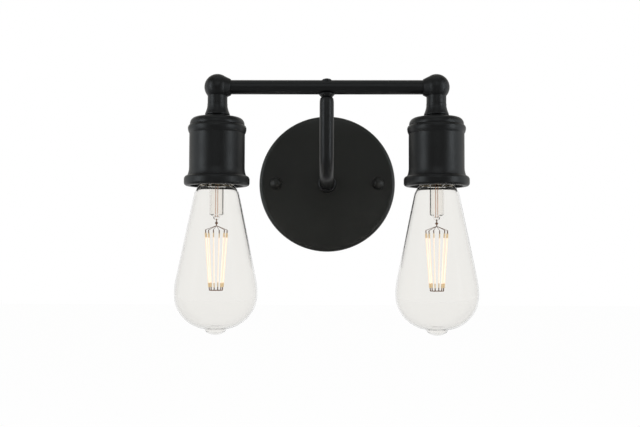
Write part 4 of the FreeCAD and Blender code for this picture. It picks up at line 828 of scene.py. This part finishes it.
class SCONCE_OT_wall_parts(bpy.types.Operator):
    """Make the backplate, its cap nuts and the collar, and finish what sits behind the plate"""
    bl_idname = "sconce.wall_parts"
    bl_label = "Wall parts"

    def execute(self, context):
        metal = context.scene.sconce_metalwork
        self.make_plate(metal)
        self.make_cap_nuts(metal)
        self.make_collar(metal)
        self.make_connectors(metal)
        dress("steel", "mounting_strap", "mounting_studs", "stud_lock_nuts", "arm_lock_washer")
        dress("brass", "arm_nut", "ground_terminal")
        dress("green", "ground_screw")
        dress("copper", "ground_lead")
        return {"FINISHED"}

    def make_plate(self, metal):
        radius = span("backplate").x / 2
        depth = span("backplate").y
        wall = metal.plate_wall
        edge = metal.plate_edge
        plate = lathed("backplate_shell", Vector(), metal.break_edge, [
            (metal.thread, depth),
            (metal.thread, depth - wall),
            (radius - edge, depth - wall),
            (radius - wall, depth - edge, edge - wall, -1),
            (radius - wall, 0),
            (radius, 0),
            (radius, depth - edge),
            (radius - edge, depth, edge, 1),
        ], ROOM, PLATE_RING)
        # The backplate takes the black paint painted lighter: painted light
        painted(plate, "backplate", "plate_paint_lit")

    def make_cap_nuts(self, metal):
        height = span("cap_nuts").y
        radius = span("cap_nuts").z / 2
        flange = metal.nut_flange
        dome = metal.nut_dome
        rise = height - flange
        sweep = (dome * dome + rise * rise) / 2 / rise
        outline = traced([
            (0, 0),
            (radius, 0),
            (radius, flange / 2),
            (radius - flange / 2, flange, flange / 2, 1),
            (dome, flange),
            (0, height, sweep, 1),
        ])
        reach = high("cap_nuts").x - radius
        for side, sign in SIDES.items():
            seat = Vector((sign * reach, high("cap_nuts").y, middle("cap_nuts").z))
            nut = turned("cap_nut_" + side, softened(outline, metal.break_edge / 2), seat, ROOM, NUT_RING)
            # The cap nuts take the black paint painted lighter: painted light
            painted(nut, "cap_nuts", "plate_paint_lit")

    def make_collar(self, metal):
        radius = span("arm_collar").x / 2
        height = span("arm_collar").y
        seat = Vector((0, high("arm_collar").y, middle("arm_collar").z))
        collar = lathed("arm_collar_ring", seat, metal.break_edge, [
            (TUBE_RADIUS, 0),
            (radius, 0),
            (radius, height - metal.collar_round),
            (radius - metal.collar_round, height, metal.collar_round, 1),
            (TUBE_RADIUS, height),
        ], ROOM)
        painted(collar, "arm_collar")

    def make_connectors(self, metal):
        """Screw-on wire connectors: fluted cones with a smooth skirt."""
        mouth = span("wire_connectors").x / 2
        reach = span("wire_connectors").z / 2
        height = metal.connector
        bore = metal.connector_bore
        bevel = metal.connector_bevel
        skirt_top = height * metal.connector_skirt
        grip = mouth - bevel / 2
        tip = mouth * metal.connector_tip
        skirt = traced([
            (bore, 0),
            (grip, 0),
            (mouth, bevel / 2, bevel / 2, 1),
            (mouth, skirt_top),
            (grip, skirt_top + bevel),
            (bore, skirt_top + bevel),
        ])
        cone = traced([
            (bore, skirt_top),
            (grip, skirt_top),
            (tip, height - bevel),
            (tip - bevel, height, bevel, 1),
            (0, height),
            (0, metal.connector_depth),
            (bore, metal.connector_depth),
        ])
        for name, way in (("upper", UP), ("lower", DOWN)):
            seat = Vector((0, middle("wire_connectors").y, 0)) + way * (reach - height)
            base = turned(f"connector_skirt_{name}", softened(skirt, bevel / 3), seat, way)
            place(base, FIXTURE, "connector_plastic", "connector", "wire_connectors")
            top = turned(f"connector_grip_{name}", supported(cone, bevel), seat, way, GRIP_RING,
                         GRIP_FLUTES, metal.connector_flute)
            place(top, FIXTURE, "connector_plastic", "connector", "wire_connectors")


class SCONCE_OT_arm(bpy.types.Operator):
    """Make the bent arm and the crossbar, and finish the saddle and the plug between them"""
    bl_idname = "sconce.arm"
    bl_label = "Arm and crossbar"

    def execute(self, context):
        metal = context.scene.sconce_metalwork
        self.make_arm(metal)
        self.make_bar(metal)
        dress("paint", "hub_saddle", "crossbar_plug")
        return {"FINISHED"}

    def make_arm(self, metal):
        """The drawn-in upper end, the upright, the elbow, the run to the wall and the threaded end."""
        reach = middle("crossbar_tube").y
        top = high("arm_tube").z
        plate = low("backplate").y
        back = high("arm_tube").y
        soft = metal.break_edge
        path = []
        radii = []
        for number in range(END_STEPS + 1):
            lean = math.pi / 2 * number / END_STEPS
            path.append(Vector((0, reach, top - metal.arm_end_run * (1 - math.cos(lean)))))
            radii.append(TUBE_RADIUS - metal.arm_end_draw * (1 - math.sin(lean)))
        path.append(Vector((0, reach, (top + metal.bend) / 2)))
        for number in range(BEND_STEPS + 1):
            lean = math.pi / 2 * number / BEND_STEPS
            path.append(Vector((0, reach + metal.bend * (1 - math.cos(lean)),
                                metal.bend * (1 - math.sin(lean)))))
        path.append(Vector((0, (reach + metal.bend + plate) / 2, 0)))
        path.append(Vector((0, plate - soft, 0)))
        radii += [TUBE_RADIUS] * (len(path) - len(radii))
        path += [Vector((0, spot, 0)) for spot in (plate, back - soft, back)]
        radii += [metal.thread, metal.thread, metal.thread - soft]
        arm = swept("arm_bent_tube", path, radii, ACROSS, TUBE_RADIUS - metal.tube_wall)
        painted(arm, "arm_tube")

    def make_bar(self, metal):
        """The crossbar's skin and lining by a node tree, closed at both ends."""
        reach = span("crossbar_tube").x
        tree = NodeShape("crossbar_shape")
        radius = tree.size("Radius", TUBE_RADIUS)
        run = tree.size("Length", reach)
        bore = tree.size("Bore", TUBE_RADIUS - metal.tube_wall)
        line = tree.line(Vector(), ACROSS, run)
        skin = tree.pipe(line, radius, TUBE_RING, caps=False)
        lining = tree.node("GeometryNodeFlipFaces", Mesh=tree.pipe(line, bore, TUBE_RING, caps=False))
        start = Vector((low("crossbar_tube").x, middle("crossbar_tube").y, BAR_AXIS))
        placed = tree.moved(tree.sum_of(skin, lining), Translation=start)
        bar = tree.piece("crossbar_drawn_tube", placed, "paint")
        close_ends(bar.data, reach)
        painted(bar, "crossbar_tube")


def close_ends(mesh, reach):
    """Join a tube's skin and lining with a ring at each end."""
    shape = bmesh.new()
    shape.from_mesh(mesh)
    edges = [edge for edge in shape.edges if edge.is_boundary]
    for side in (-1, 1):
        ring = [edge for edge in edges if edge.verts[0].co.x * side > reach / 4]
        bmesh.ops.bridge_loops(shape, edges=ring)
    into_mesh(shape, mesh)


class SCONCE_OT_necks(bpy.types.Operator):
    """Make each end ball with its neck, and the flared collar under it"""
    bl_idname = "sconce.necks"
    bl_label = "Balls and necks"

    def execute(self, context):
        metal = context.scene.sconce_metalwork
        for side, sign in SIDES.items():
            self.make_ball(metal, side)
            self.make_boss(metal, side, sign)
            self.make_flare(metal, side)
        return {"FINISHED"}

    def make_ball(self, metal, side):
        radius = span("end_ball_" + side).y / 2
        drop = BAR_AXIS - low("end_ball_" + side).z
        root = math.sqrt(radius ** 2 - metal.neck ** 2)
        ball = lathed("end_ball_turned_" + side, lamp_point(side, BAR_AXIS), metal.break_edge, [
            (0, -drop),
            (metal.neck, -drop),
            (metal.neck, -root),
            (radius, 0, radius, 1),
            (0, radius, radius, 1),
        ])
        painted(ball, "end_ball_" + side)

    def make_boss(self, metal, side, sign):
        """The short cone that runs from the ball out along the crossbar."""
        bore = TUBE_RADIUS + FIT
        boss = lathed("end_ball_boss_" + side, lamp_point(side, BAR_AXIS), metal.break_edge, [
            (bore, metal.boss_start),
            (metal.boss_root, metal.boss_start),
            (metal.boss_end, metal.boss_length),
            (bore, metal.boss_length),
        ], ACROSS * -sign)
        painted(boss, "end_ball_" + side)

    def make_flare(self, metal, side):
        node = "neck_flare_" + side
        foot = span(node).z
        flare = lathed("neck_flare_turned_" + side, lamp_point(side, high(node).z), metal.break_edge / 2, [
            (metal.thread, 0),
            (metal.thread, -foot),
            (metal.flare_foot, -foot),
            (metal.flare_foot, -metal.flare_foot_drop),
            (span(node).x / 2, -metal.flare_lip, metal.flare_under, 1),
            (metal.flare_top, -metal.flare_bend, metal.flare_sweep, -1),
            (metal.flare_top, 0),
        ])
        painted(flare, node)


class SCONCE_OT_cups(bpy.types.Operator):
    """Make each lamp cup with its lid, and the porcelain lampholder inside"""
    bl_idname = "sconce.cups"
    bl_label = "Lamp cups"
    kept = {
        # The porcelain finish is painted darker as shade inside the cup
        "porcelain": ("lampholder_block",),
        "steel": ("nipple", "cup_nut", "lampholder_cap"),
        "brass": ("terminal_screws", "lampholder_shell", "lampholder_contact"),
        "black_sleeve": ("lead_black",),
        "white_sleeve": ("lead_white",),
    }

    def execute(self, context):
        cup = context.scene.sconce_cup
        metal = context.scene.sconce_metalwork
        for side in SIDES:
            self.make_lid(cup, metal, side)
            self.make_body(cup, metal, side)
            self.make_porcelain(cup, metal, side)
            for finish, nodes in self.kept.items():
                dress(finish, *[node + "_" + side for node in nodes])
        return {"FINISHED"}

    def make_lid(self, cup, metal, side):
        node = "cup_lid_" + side
        radius = span(node).x / 2
        foot = span(node).z
        inside = cup.radius - cup.wall - FIT
        skirt = inside - cup.wall
        lid = lathed("cup_lid_turned_" + side, lamp_point(side, high(node).z), metal.break_edge, [
            (metal.thread, 0),
            (metal.thread, -cup.wall),
            (radius - cup.lid_round, -cup.wall),
            (skirt, -cup.lid_round, cup.lid_round - cup.wall, -1),
            (skirt, -foot),
            (inside, -foot),
            (inside, -cup.seam),
            (radius, -cup.seam),
            (radius, -cup.lid_round),
            (radius - cup.lid_round, 0, cup.lid_round, 1),
        ], segments=CUP_RING)
        painted(lid, node)

    def make_body(self, cup, metal, side):
        node = "cup_body_" + side
        top = high("cup_lid_" + side).z
        rim = top - low(node).z
        rim_radius = span(node).x / 2
        inside = cup.radius - cup.wall
        body = lathed("cup_body_turned_" + side, lamp_point(side, top), metal.break_edge, [
            (inside, -cup.seam),
            (inside, -rim),
            (rim_radius - cup.rim_round, -rim),
            (rim_radius, cup.rim_round - rim, cup.rim_round, 1),
            (rim_radius, -cup.foot - cup.shoulder),
            (cup.foot_radius, -cup.foot, cup.shoulder_sweep, 1),
            (cup.radius, -cup.flare, cup.foot_sweep, -1),
            (cup.radius, -cup.bead_end),
            (cup.bead_radius, -cup.bead, cup.bead_lower, 1),
            (span("cup_lid_" + side).x / 2, -cup.seam, cup.bead_upper, 1),
        ], segments=CUP_RING)
        painted(body, node)

    def make_porcelain(self, cup, metal, side):
        node = "lampholder_body_" + side
        radius = span(node).x / 2
        height = span(node).z
        body = lathed("porcelain_turned_" + side, lamp_point(side, low(node).z), metal.break_edge, [
            (cup.porcelain_bore, height),
            (cup.porcelain_bore, 0),
            (radius - cup.porcelain_round, 0),
            (radius, cup.porcelain_round, cup.porcelain_round, 1),
            (radius, height),
        ])
        # The porcelain body takes the finish painted darker as shade inside the cup
        place(body, FIXTURE, "porcelain", "porcelain", node)


class SCONCE_OT_bulbs(bpy.types.Operator):
    """Make each bulb's glass, stem and lit filament strips"""
    bl_idname = "sconce.bulbs"
    bl_label = "Filament bulbs"

    def execute(self, context):
        bulb = context.scene.sconce_bulb
        for side, turn in (("left", bulb.turn_left), ("right", bulb.turn_right)):
            foot = lamp_point(side, low("bulb_base_" + side).z)
            self.make_glass(bulb, side, foot)
            self.make_stem(bulb, side, foot)
            self.make_stem_leads(bulb, side, foot)
            self.make_filaments(bulb, side, foot, turn)
            self.make_supports(bulb, side, foot, turn)
            dress("nickel", "bulb_base_" + side)
            dress("black_glass", "bulb_insulator_" + side)
            dress("solder", "bulb_contact_" + side)
            dress("circuit", "bulb_driver_" + side)
        return {"FINISHED"}

    def glass_side(self, bulb, radius, neck_top, end, inset):
        """One face of the glass from its neck to its tip, set in by a wall or not at all."""
        drop = bulb.belly_drop - bulb.cone_drop
        leave = radius - bulb.upper_sweep + math.sqrt(bulb.upper_sweep ** 2 - drop ** 2)
        spread = bulb.tip_root + bulb.tip_spread
        reach = spread - radius + bulb.bottom_sweep
        root = -bulb.belly_drop - math.sqrt(bulb.bottom_sweep ** 2 - reach ** 2)
        flank = (root + end) / 2
        round_end = (bulb.tip ** 2 + (flank - end) ** 2) / 2 / (flank - end)
        return traced([
            (bulb.neck - inset, neck_top),
            (bulb.neck - inset, FIT - bulb.lip_drop),
            (bulb.lip - inset, -bulb.lip_drop - inset),
            (bulb.shoulder - inset, -bulb.shoulder_drop, bulb.shoulder_sweep - inset / 2, -1),
            (leave - inset, -bulb.cone_drop),
            (radius - inset, -bulb.belly_drop, bulb.upper_sweep - inset, -1),
            (spread - inset, root + inset, bulb.bottom_sweep - inset, -1),
            (bulb.tip - inset, flank + inset / 2, bulb.tip_sweep, 1),
            (0, end + inset, round_end - inset, -1),
        ])

    def make_glass(self, bulb, side, foot):
        node = "bulb_glass_" + side
        sizes = (span(node).x / 2, high(node).z - foot.z, low(node).z - foot.z)
        outside = self.glass_side(bulb, *sizes, 0.0)
        inside = self.glass_side(bulb, *sizes, bulb.wall)
        glass = turned("bulb_glass_blown_" + side, inside[::-1] + outside, foot, segments=CUP_RING)
        place(glass, "bulb_" + side, "clear_glass", "glass", node)

    def make_stem(self, bulb, side, foot):
        node = "bulb_stem_" + side
        neck_top = high(node).z - foot.z
        end = foot.z - low(node).z
        neck = span(node).x / 2
        inside = bulb.stem - bulb.stem_wall
        outline = traced([
            (neck, neck_top),
            (neck, neck_top - bulb.stem_wall),
            (bulb.stem, neck_top - bulb.stem),
            (bulb.stem, -bulb.stem_taper),
            (bulb.stem_pinch, bulb.stem_pinch - end),
            (0, -end, bulb.stem_pinch, -1),
            (0, -bulb.stem_taper - bulb.stem_wall),
            (inside, -bulb.stem_taper),
            (inside, neck_top - inside),
        ])
        stem = turned("bulb_stem_drawn_" + side, outline, foot, segments=STEM_RING)
        place(stem, "bulb_" + side, "stem_glass", "stem_glass", node)

    def make_stem_leads(self, bulb, side, foot):
        """Two leads down the stem's inside to its sealed end, and the thin tube between them."""
        top = foot.z + bulb.neck
        reach = top - low("bulb_stem_" + side).z - bulb.stem_pinch
        place_out = bulb.stem_lead_place
        for name, radius, places, finish, slot_name in (
                ("stem_leads_", bulb.stem_lead, (-place_out, place_out), "copper", "copper_wire"),
                ("exhaust_tube_", bulb.exhaust, (0.0,), "stem_glass", "stem_glass")):
            tree = NodeShape(name + side)
            thick = tree.size("Radius", radius)
            run = tree.size("Length", reach)
            rods = []
            for out in places:
                line = tree.line(Vector((foot.x + out, foot.y, top)), DOWN, run)
                rods.append(tree.pipe(line, thick, LEAD_RING))
            piece = tree.piece(name + side, tree.sum_of(*rods), finish)
            place(piece, "bulb_" + side, slot_name, finish)

    def make_filaments(self, bulb, side, foot, turn):
        """Flat coated strips, set round the axis by a node tree with their edges towards it."""
        lean = math.atan2(bulb.top_ring - bulb.low_ring, bulb.filament_length)
        drop = bulb.filament_drop + bulb.filament_length / 2
        tree = NodeShape("filament_strips_" + side)
        count = tree.size("Count", bulb.filament_count, "NodeSocketInt")
        radius = tree.size("Strip radius", bulb.filament)
        reach = tree.size("Strip length", bulb.filament_length)
        circle = tree.size("Circle radius", (bulb.top_ring + bulb.low_ring) / 2)
        strip = tree.node("GeometryNodeMeshCylinder", Vertices=STRIP_RING, Side_Segments=STRIP_PARTS,
                          Radius=radius, Depth=reach)
        leaned = tree.moved(strip, Rotation=Euler((0, lean, 0)), Scale=Vector((1, bulb.filament_flat, 1)))
        placed = tree.moved(tree.repeated(leaned, count, circle), Translation=foot + DOWN * drop,
                            Rotation=Euler((0, 0, turn)))
        piece = tree.piece("filament_strips_" + side, placed, "glow")
        place(piece, "bulb_" + side, "phosphor", "glow", "bulb_filaments_" + side)

    def make_supports(self, bulb, side, foot, turn):
        """The wire and knot under the stem, a wire and tabs for each filament, and the hoop below them."""
        stem_end = low("bulb_stem_" + side).z - foot.z
        top = Vector((bulb.top_ring, 0, -bulb.filament_drop))
        end = Vector((bulb.low_ring, 0, -bulb.filament_drop - bulb.filament_length))
        tab_run = (top - end).normalized() * bulb.tab_length
        corner = top + tab_run
        foot_corner = end - tab_run
        parting = UP * (stem_end - bulb.spoke_drop)
        tree = NodeShape("filament_supports_" + side)
        count = tree.size("Count", bulb.filament_count, "NodeSocketInt")
        wire = tree.size("Wire radius", bulb.wire)
        tab = tree.size("Tab radius", bulb.tab)
        arm = tree.sum_of(tree.rod(parting, corner, wire), tree.rod(top, corner, tab),
                          tree.rod(end, foot_corner, tab))
        arms = tree.repeated(arm, count, 0.0)
        circle = tree.node("GeometryNodeCurvePrimitiveCircle", Resolution=HOOP_RING, Radius=foot_corner.x)
        hoop = tree.moved(tree.pipe(circle, wire, WIRE_RING, caps=False), Translation=UP * foot_corner.z)
        ball = tree.node("GeometryNodeMeshUVSphere", Segments=KNOT_RING, Rings=KNOT_ROWS, Radius=bulb.knot)
        knot = tree.moved(ball, Scale=Vector((1, 1, KNOT_FLATNESS)),
                          Translation=UP * (stem_end - bulb.knot_drop))
        stalk = tree.rod(UP * (stem_end + bulb.stem_pinch / 2), parting, bulb.tab)
        placed = tree.moved(tree.sum_of(arms, hoop, knot, stalk), Translation=foot,
                            Rotation=Euler((0, 0, turn)))
        piece = tree.piece("filament_supports_" + side, placed, "wire")
        place(piece, "bulb_" + side, "support_wire", "wire", "bulb_supports_" + side)


class SCONCE_OT_stage(bpy.types.Operator):
    """Set up the floor, the soft lights, the white surround and the camera"""
    bl_idname = "sconce.stage"
    bl_label = "Stage"

    def execute(self, context):
        stage = context.scene.sconce_stage
        self.make_floor(stage)
        self.make_world(context.scene, stage)
        self.make_lights(stage)
        self.make_camera(context.scene, stage)
        context.scene.view_settings.view_transform = "Standard"
        return {"FINISHED"}

    def make_floor(self, stage):
        """A floor that is mostly plain white to the camera, with the faintest shadows."""
        height = low("bulb_glass_left").z - stage.floor_drop
        reach = stage.floor_reach
        mesh = bpy.data.meshes.new("floor")
        corners = [(x * reach, y * reach, height) for x, y in ((-1, -1), (1, -1), (1, 1), (-1, 1))]
        mesh.from_pydata(corners, [], [(0, 1, 2, 3)])
        finish = Finish("pale_floor", Base_Color=stage.floor_tone, Roughness=stage.floor_gloss)
        white = finish.node("ShaderNodeEmission", Color=WHITE, Strength=stage.floor_glow)
        spot = finish.parts(finish.coordinates())
        seen = white_rays(finish, finish.ramp(spot[1], 0.0, stage.floor_fade)) * stage.floor_white
        finish.show(finish.blended(seen, finish.shader, white))
        mesh.materials.append(finish.owner)
        floor = linked("floor", mesh)

    def make_world(self, scene, stage):
        """White to the camera, in metal and through glass, and for the rest a studio with a dim front."""
        scene.world = bpy.data.worlds.new("soft_studio")
        finish = Finish("soft_studio", scene.world)
        way = finish.parts(finish.coordinates("Generated"))
        behind = finish.ramp(way[1], stage.room_edge, 1.0, stage.room, 1.0)
        white = finish.maths("MAXIMUM", white_rays(finish, behind), behind)
        tone = finish.mixed(white, stage.room_tone, WHITE)
        finish.show(finish.node("ShaderNodeBackground", Color=tone, Strength=white))

    def make_lights(self, stage):
        """Two tall lights whose bands show on the cups, two that edge the tubes, one in front, one above."""
        pairs = (("cup", stage.cup_light, stage.cup_turn, stage.cup_width),
                 ("edge", stage.edge_light, stage.edge_turn, stage.edge_width))
        for name, power, turn, width in pairs:
            for side, sign in SIDES.items():
                way = Vector((sign * math.sin(turn), -math.cos(turn), stage.side_rise))
                spot = stage.middle + way * stage.side_distance
                self.add_light(stage, f"{name}_light_{side}", power, (width, stage.side_height), spot)
        self.add_light(stage, "front_light", stage.front_light, stage.front_size, stage.front_place)
        self.add_light(stage, "top_light", stage.top_light, stage.top_size, stage.top_place)

    def add_light(self, stage, name, power, size, spot):
        """A soft area light that faces the middle of the object and doesn't show through glass."""
        lamp = bpy.data.lights.new(name, "AREA")
        lamp.energy = power
        lamp.color = stage.lamp_tone[:3]
        lamp.shape = "RECTANGLE"
        lamp.size, lamp.size_y = size
        light = linked(name, lamp)
        light.location = spot
        light.rotation_euler = (stage.aim - spot).to_track_quat("-Z", "Y").to_euler()
        light.visible_transmission = False

    def make_camera(self, scene, stage):
        lens = bpy.data.cameras.new("camera")
        lens.sensor_fit = "HORIZONTAL"
        lens.lens = lens.sensor_width * stage.focal_pixels / PHOTO_WIDTH
        scene.camera = linked("camera", lens)
        scene.camera.location = stage.camera_place
        look = Euler((math.pi / 2 + stage.camera_tilt, 0, stage.camera_turn)).to_matrix()
        scene.camera.rotation_euler = (look @ Matrix.Rotation(stage.camera_roll, 3, "Z")).to_euler()


class SCONCE_PT_panel(bpy.types.Panel):
    """The sconce's steps and settings"""
    bl_label = "Wall sconce"
    bl_idname = "SCONCE_PT_panel"
    bl_space_type = "VIEW_3D"
    bl_region_type = "UI"
    bl_category = "Sconce"

    def draw(self, context):
        for operator in STEPS:
            self.layout.operator(operator.bl_idname)
        for name, group in GROUPS.items():
            box = self.layout.box()
            box.label(text=name.replace("sconce_", "").title())
            for row in group.__annotations__:
                box.prop(getattr(context.scene, name), row)


STEPS = (SCONCE_OT_stage, SCONCE_OT_wall_parts, SCONCE_OT_arm, SCONCE_OT_necks, SCONCE_OT_cups,
         SCONCE_OT_bulbs)
GROUPS = {
    "sconce_metalwork": MetalworkSettings,
    "sconce_cup": CupSettings,
    "sconce_bulb": BulbSettings,
    "sconce_finish": FinishSettings,
    "sconce_stage": StageSettings,
}


def register():
    for group in GROUPS.values():
        bpy.utils.register_class(group)
    for name, group in GROUPS.items():
        setattr(bpy.types.Scene, name, bpy.props.PointerProperty(type=group))
    for operator in STEPS:
        bpy.utils.register_class(operator)
    bpy.utils.register_class(SCONCE_PT_panel)


def unregister():
    bpy.utils.unregister_class(SCONCE_PT_panel)
    for operator in reversed(STEPS):
        bpy.utils.unregister_class(operator)
    for name, group in GROUPS.items():
        delattr(bpy.types.Scene, name)
        bpy.utils.unregister_class(group)


def main():
    """Dress the whole sconce."""
    register()
    finishes.update(make_finishes())
    bpy.ops.sconce.stage()
    bpy.ops.sconce.wall_parts()
    bpy.ops.sconce.arm()
    bpy.ops.sconce.necks()
    bpy.ops.sconce.cups()
    bpy.ops.sconce.bulbs()


if __name__ == "__main__":
    main()
